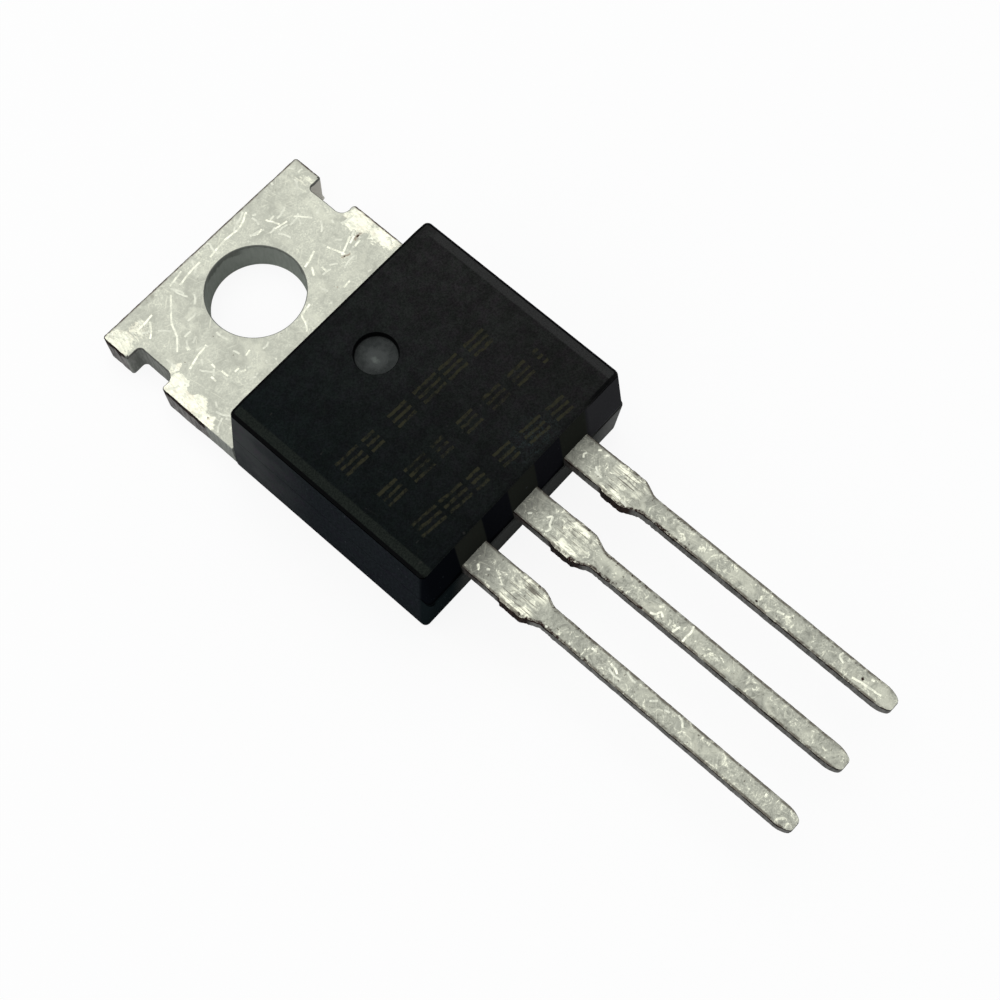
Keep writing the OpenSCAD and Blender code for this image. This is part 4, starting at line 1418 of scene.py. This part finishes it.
class TRANSISTOR_OT_scratches(bpy.types.Operator):
    """Builds the bright scratches of the tab and the leads"""

    bl_idname = "transistor.scratches"
    bl_label = "Scratches"

    def execute(self, context):
        spec = settings(context.scene)
        wear = spec.wear
        shared = {"Root": lead_root(spec), "Density": wear.density, "Lead Density": wear.lead_density}
        shared.update({"Reach": wear.reach, "Width": wear.width, "Height": wear.height})
        shared["Metal"] = scratch_material(spec.look)
        tree = scratch_tree()
        groups = (
            ("scratches_tab", "tab_and_middle_lead", TAB_SCRATCHES + LEAD_SCRATCHES["middle"]),
            ("scratches_left_lead", "left_lead", LEAD_SCRATCHES["left"]),
            ("scratches_right_lead", "right_lead", LEAD_SCRATCHES["right"]),
        )
        for salt, (name, surface, lines) in enumerate(groups):
            piece = self.line_piece(name, lines)
            values = {"Surface": bpy.data.objects[surface], "Seed": wear.seed + salt, **shared}
            run_tree(piece, tree, values)
            deliver(piece)
        return {"FINISHED"}

    def line_piece(self, name, lines):
        """A piece of bare edges along the lines, which carry their widths."""
        bm = bmesh.new()
        width = bm.verts.layers.float.new("width")
        for points, value in lines:
            verts = [bm.verts.new((x, y, 0.0)) for x, y in points]
            for vert in verts:
                vert[width] = value
            for pair in zip(verts, verts[1:]):
                bm.edges.new(pair)
        return new_piece(name, bm)


class TRANSISTOR_OT_moulding(bpy.types.Operator):
    """Builds the black moulding with its drafted walls, parting step, bevels and ejector marks"""

    bl_idname = "transistor.moulding"
    bl_label = "Moulding"

    def execute(self, context):
        spec = settings(context.scene)
        body, tab = spec.body, spec.tab
        mark = Vector((body.shift, body.mark_y))
        wall_top = body.height - body.bevel_drop - body.edge
        bm = bmesh.new()
        bm.verts.layers.float.new("edge")
        rings = self.wall_rings(bm, body, tab, wall_top)
        rings += self.mark_rings(bm, body, mark, rings[-1])
        bridge(bm, rings)
        bm.faces.new(rings[-1])
        bm.faces.new(rings[0][::-1])
        piece = new_piece("moulding", bm)
        self.cut_back(piece, body, tab)
        for material in (front_material(spec), wall_material(spec)):
            piece.data.materials.append(material)
        for face in piece.data.polygons:
            place = face.center
            in_mark = place.z > wall_top - 0.2 and (place.xy - mark).length < body.mark
            on_front = place.z > wall_top + body.edge * 0.6
            on_back = place.z < 0.001
            face.material_index = 0 if in_mark or on_front or on_back else 1
        deliver(piece, nodes=["moulded_body"], smooth=48)
        return {"FINISHED"}

    def wall_rings(self, bm, body, tab, wall_top):
        """Rings from the back face up the walls, round the upper edge and in over the bevels."""
        edge = bm.verts.layers.float["edge"]

        def foot_y(z):
            return body.foot - max(0.0, z - tab.thickness) * math.tan(body.foot_draft)

        def end_y(z, upper):
            if upper:
                return body.end + (z - body.parting) * math.tan(body.upper_draft)
            return body.end - body.step + (body.parting - z) * math.tan(body.lower_draft)

        def crown(x):
            """Height of the front face with its shallow bevels."""
            out = (abs(x) - wall_reach(body, body.height, x) + body.bevel_width) / body.bevel_width
            return body.height - body.bevel_drop * max(0.0, min(1.0, out))

        def ring(z, inset=0.0, upper=False, drop=None, value=0.0):
            """A ring of the walls. With a drop it lies that far below the front face."""
            right, left = wall_reach(body, z, 1) - inset, inset - wall_reach(body, z, -1)
            foot, end = foot_y(z) - inset, end_y(z, upper) + inset
            radius = max(0.02, body.corner - inset)
            corners = [(right, end, radius), (right, foot, radius), (left, foot, radius), (left, end, radius)]
            verts = []
            for x, y in ring_points(corners):
                vert = bm.verts.new((x + body.shift, y, z if drop is None else crown(x) - drop))
                vert[edge] = value
                verts.append(vert)
            return verts

        parting = body.parting
        rings = [
            ring(0.0, 0.035),
            ring(0.01, 0.012),
            ring(0.035),
            ring(tab.thickness),
            ring(parting - 0.03),
            ring(parting - 0.012, 0.003, value=0.45),
            ring(parting, 0.008, value=0.5),
            ring(parting, 0.010, True, value=0.5),
            ring(parting + 0.02, 0.0, True, value=0.45),
            ring(parting + 0.035, 0.0, True),
            ring((parting + wall_top) / 2, 0.0, True),
            ring(wall_top - 0.02, 0.0, True),
        ]
        for step in range(7):
            turn = math.radians(90 * step / 6)
            inset, drop = body.edge * (1 - math.cos(turn)), body.edge * (1 - math.sin(turn))
            rings.append(ring(body.height, inset, True, drop, 1.0))
        rings.append(ring(body.height, body.edge * 1.3, True, 0.0, 0.4))
        for inset in (body.edge * 1.7, body.bevel_width * 0.98, body.bevel_width * 1.03):
            rings.append(ring(body.height, inset, True, 0.0))
        return rings

    def mark_rings(self, bm, body, mark, outer):
        """Round rings down the wall of the ejector mark and in over its floor to a low pip."""
        edge = bm.verts.layers.float["edge"]
        radius, deep = body.mark / 2, body.mark_depth
        ways = [(vert.co.xy - mark).normalized() for vert in outer]
        rings = []
        for drop, reach, value in (
            (0.0, radius + 0.05, 0.0),
            (0.0, radius + 0.018, 0.5),
            (0.02, radius, 1.0),
            (deep - 0.04, radius - 0.015, 1.0),
            (deep - 0.01, radius - 0.03, 1.0),
            (deep, radius - 0.06, 0.0),
            (deep, radius * 0.6, 0.0),
            (deep - 0.004, radius * 0.3, 0.0),
            (deep - 0.02, radius * 0.16, 0.0),
            (deep - 0.028, radius * 0.05, 0.0),
        ):
            verts = [bm.verts.new((*(mark + way * reach), body.height - drop)) for way in ways]
            for vert in verts:
                vert[edge] = value
            rings.append(verts)
        return rings

    def cut_back(self, piece, body, tab):
        """Cuts the bed of the pad and the two round marks out of the back."""
        gap, half = tab.pad_gap, tab.pad_width / 2
        right = [(half + gap, tab.pad_end - gap, PAD_CORNER), (half + gap, body.foot + 1.0, 0.0)]
        cuts = [(outline_points(right + mirrored(right), 1.0), tab.thickness + gap)]
        across, along = body.width / 2 - BACK_MARK_SIDE, body.end + BACK_MARK_END
        for side in (-1, 1):
            place = (body.shift + side * across, along)
            cuts.append((circle(place, body.back_mark / 2, 48), body.back_depth))
        bm = bmesh.new()
        for points, depth in cuts:
            low = [bm.verts.new((*p, -1.0)) for p in points]
            high = [bm.verts.new((*p, depth)) for p in points]
            bridge(bm, [low, high])
            bm.faces.new(low[::-1])
            bm.faces.new(high)
        cutter = new_piece("cutter", bm)
        modifier = piece.modifiers.new("back", "BOOLEAN")
        modifier.operation, modifier.solver, modifier.object = "DIFFERENCE", "EXACT", cutter
        settle(piece)
        bpy.data.objects.remove(cutter)


class TRANSISTOR_OT_inside(bpy.types.Operator):
    """Finishes the die, its solder and the bond wires inside the moulding"""

    bl_idname = "transistor.inside"
    bl_label = "Inside"

    def execute(self, context):
        die = plain_metal("polished silicon", (0.018, 0.020, 0.028), (0.035, 0.038, 0.050), 1.2, 0.2, 0.18)
        solder = plain_metal("dull solder", (0.17, 0.175, 0.18), (0.30, 0.31, 0.32), 3.0, 0.8, 0.42)
        wire = plain_metal("drawn aluminium", (0.50, 0.50, 0.50), (0.66, 0.66, 0.65), 9.0, 0.9, 0.3)
        finishes = {"silicon_die": die, "die_solder": solder}
        for name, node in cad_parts.items():
            if name in finishes or "wire" in name:
                node.data.materials.clear()
                node.data.materials.append(finishes.get(name, wire))
        return {"FINISHED"}


class TRANSISTOR_OT_stage(bpy.types.Operator):
    """Builds the floor, the light and the camera"""

    bl_idname = "transistor.stage"
    bl_label = "Stage"

    def execute(self, context):
        scene = context.scene
        bm = bmesh.new()
        bmesh.ops.create_grid(bm, x_segments=8, y_segments=8, size=FLOOR_REACH)
        floor = new_piece("floor", bm)
        floor.data.transform(Matrix.Translation((0, 0, -FLOOR_GAP)))
        floor.data.transform(Matrix.Scale(MM, 4))
        floor.data.materials.append(self.floor_material())
        scene.world = self.sky()
        for lamp in LAMPS:
            self.add_lamp(scene, *lamp)
        self.add_camera(scene)
        scene.view_settings.view_transform = "Standard"
        return {"FINISHED"}

    def add_lamp(self, scene, name, place, size, power):
        """A square soft light that looks at the part."""
        lamp = bpy.data.lights.new(name, "AREA")
        lamp.shape, lamp.size, lamp.energy = "SQUARE", size, power
        holder = bpy.data.objects.new(name, lamp)
        turn = (Vector(LAMP_AIM) - Vector(place)).to_track_quat("-Z", "Y").to_matrix().to_4x4()
        holder.matrix_world = Matrix.Translation(place) @ turn
        scene.collection.objects.link(holder)

    def add_camera(self, scene):
        """The camera that took the photograph, as solved from the edges of the part."""
        data = bpy.data.cameras.new("camera")
        data.sensor_width, data.lens, data.clip_start = 36.0, CAMERA_LENS, 0.002
        camera = bpy.data.objects.new("camera", data)
        turn = Matrix([Vector(axis) for axis in CAMERA_AXES]).transposed().to_4x4()
        camera.matrix_world = Matrix.Translation(Vector(CAMERA_PLACE) * MM) @ turn
        scene.collection.objects.link(camera)
        scene.camera = camera

    def seen(self, n):
        """One for rays that should find the plain white background."""
        path = n.add("ShaderNodeLightPath").outputs
        return n.most(path["Is Camera Ray"], path["Is Glossy Ray"], path["Is Transmission Ray"])

    def floor_material(self):
        """White paper that the camera sees almost plain, so that only a faint shadow is left."""
        material = bpy.data.materials.new("white floor")
        n = emptied(material)
        paper = n.add("ShaderNodeBsdfDiffuse", {"Color": (0.93, 0.93, 0.93, 1)})
        glow = n.add("ShaderNodeEmission", {"Color": (1, 1, 1, 1), "Strength": 1.0})
        mix = n.add("ShaderNodeMixShader", {0: n.product(self.seen(n), SHADOW_FADE), 1: paper, 2: glow})
        n.put(n.add("ShaderNodeOutputMaterial").inputs[0], mix)
        return material

    def sky(self):
        """Soft light from all round, and plain white for the camera."""
        world = bpy.data.worlds.new("studio")
        n = emptied(world)
        white = n.add("ShaderNodeBackground", {"Color": (1, 1, 1, 1), "Strength": 1.0})
        soft = n.add("ShaderNodeBackground", {"Color": (0.96, 0.98, 1.0, 1), "Strength": SKY_POWER})
        mix = n.add("ShaderNodeMixShader", {0: self.seen(n), 1: soft, 2: white})
        n.put(n.add("ShaderNodeOutputWorld").inputs[0], mix)
        return world


GROUPS = {
    "transistor_tab": TransistorTab,
    "transistor_leads": TransistorLeads,
    "transistor_body": TransistorBody,
    "transistor_wear": TransistorWear,
    "transistor_finish": TransistorFinish,
}
OPERATORS = (
    TRANSISTOR_OT_frame,
    TRANSISTOR_OT_leads,
    TRANSISTOR_OT_scratches,
    TRANSISTOR_OT_moulding,
    TRANSISTOR_OT_inside,
    TRANSISTOR_OT_stage,
)


class TRANSISTOR_PT_panel(bpy.types.Panel):
    """Lists the settings and the pieces of the transistor"""

    bl_idname = "TRANSISTOR_PT_panel"
    bl_label = "Power Transistor"
    bl_space_type = "VIEW_3D"
    bl_region_type = "UI"
    bl_category = "Transistor"

    def draw(self, context):
        for key, group in GROUPS.items():
            box = self.layout.box()
            box.label(text=group.__doc__)
            for name in group.__annotations__:
                box.prop(getattr(context.scene, key), name)
        for operator in OPERATORS:
            self.layout.operator(operator.bl_idname)


def register():
    for item in (*GROUPS.values(), *OPERATORS, TRANSISTOR_PT_panel):
        bpy.utils.register_class(item)
    for key, group in GROUPS.items():
        setattr(bpy.types.Scene, key, bpy.props.PointerProperty(type=group))


def unregister():
    for key in GROUPS:
        delattr(bpy.types.Scene, key)
    for item in (TRANSISTOR_PT_panel, *reversed(OPERATORS), *reversed(GROUPS.values())):
        bpy.utils.unregister_class(item)


def main():
    register()
    bpy.ops.transistor.frame()
    bpy.ops.transistor.leads()
    bpy.ops.transistor.scratches()
    bpy.ops.transistor.moulding()
    bpy.ops.transistor.inside()
    bpy.ops.transistor.stage()
    bpy.context.view_layer.update()


if __name__ == "__main__":
    main()
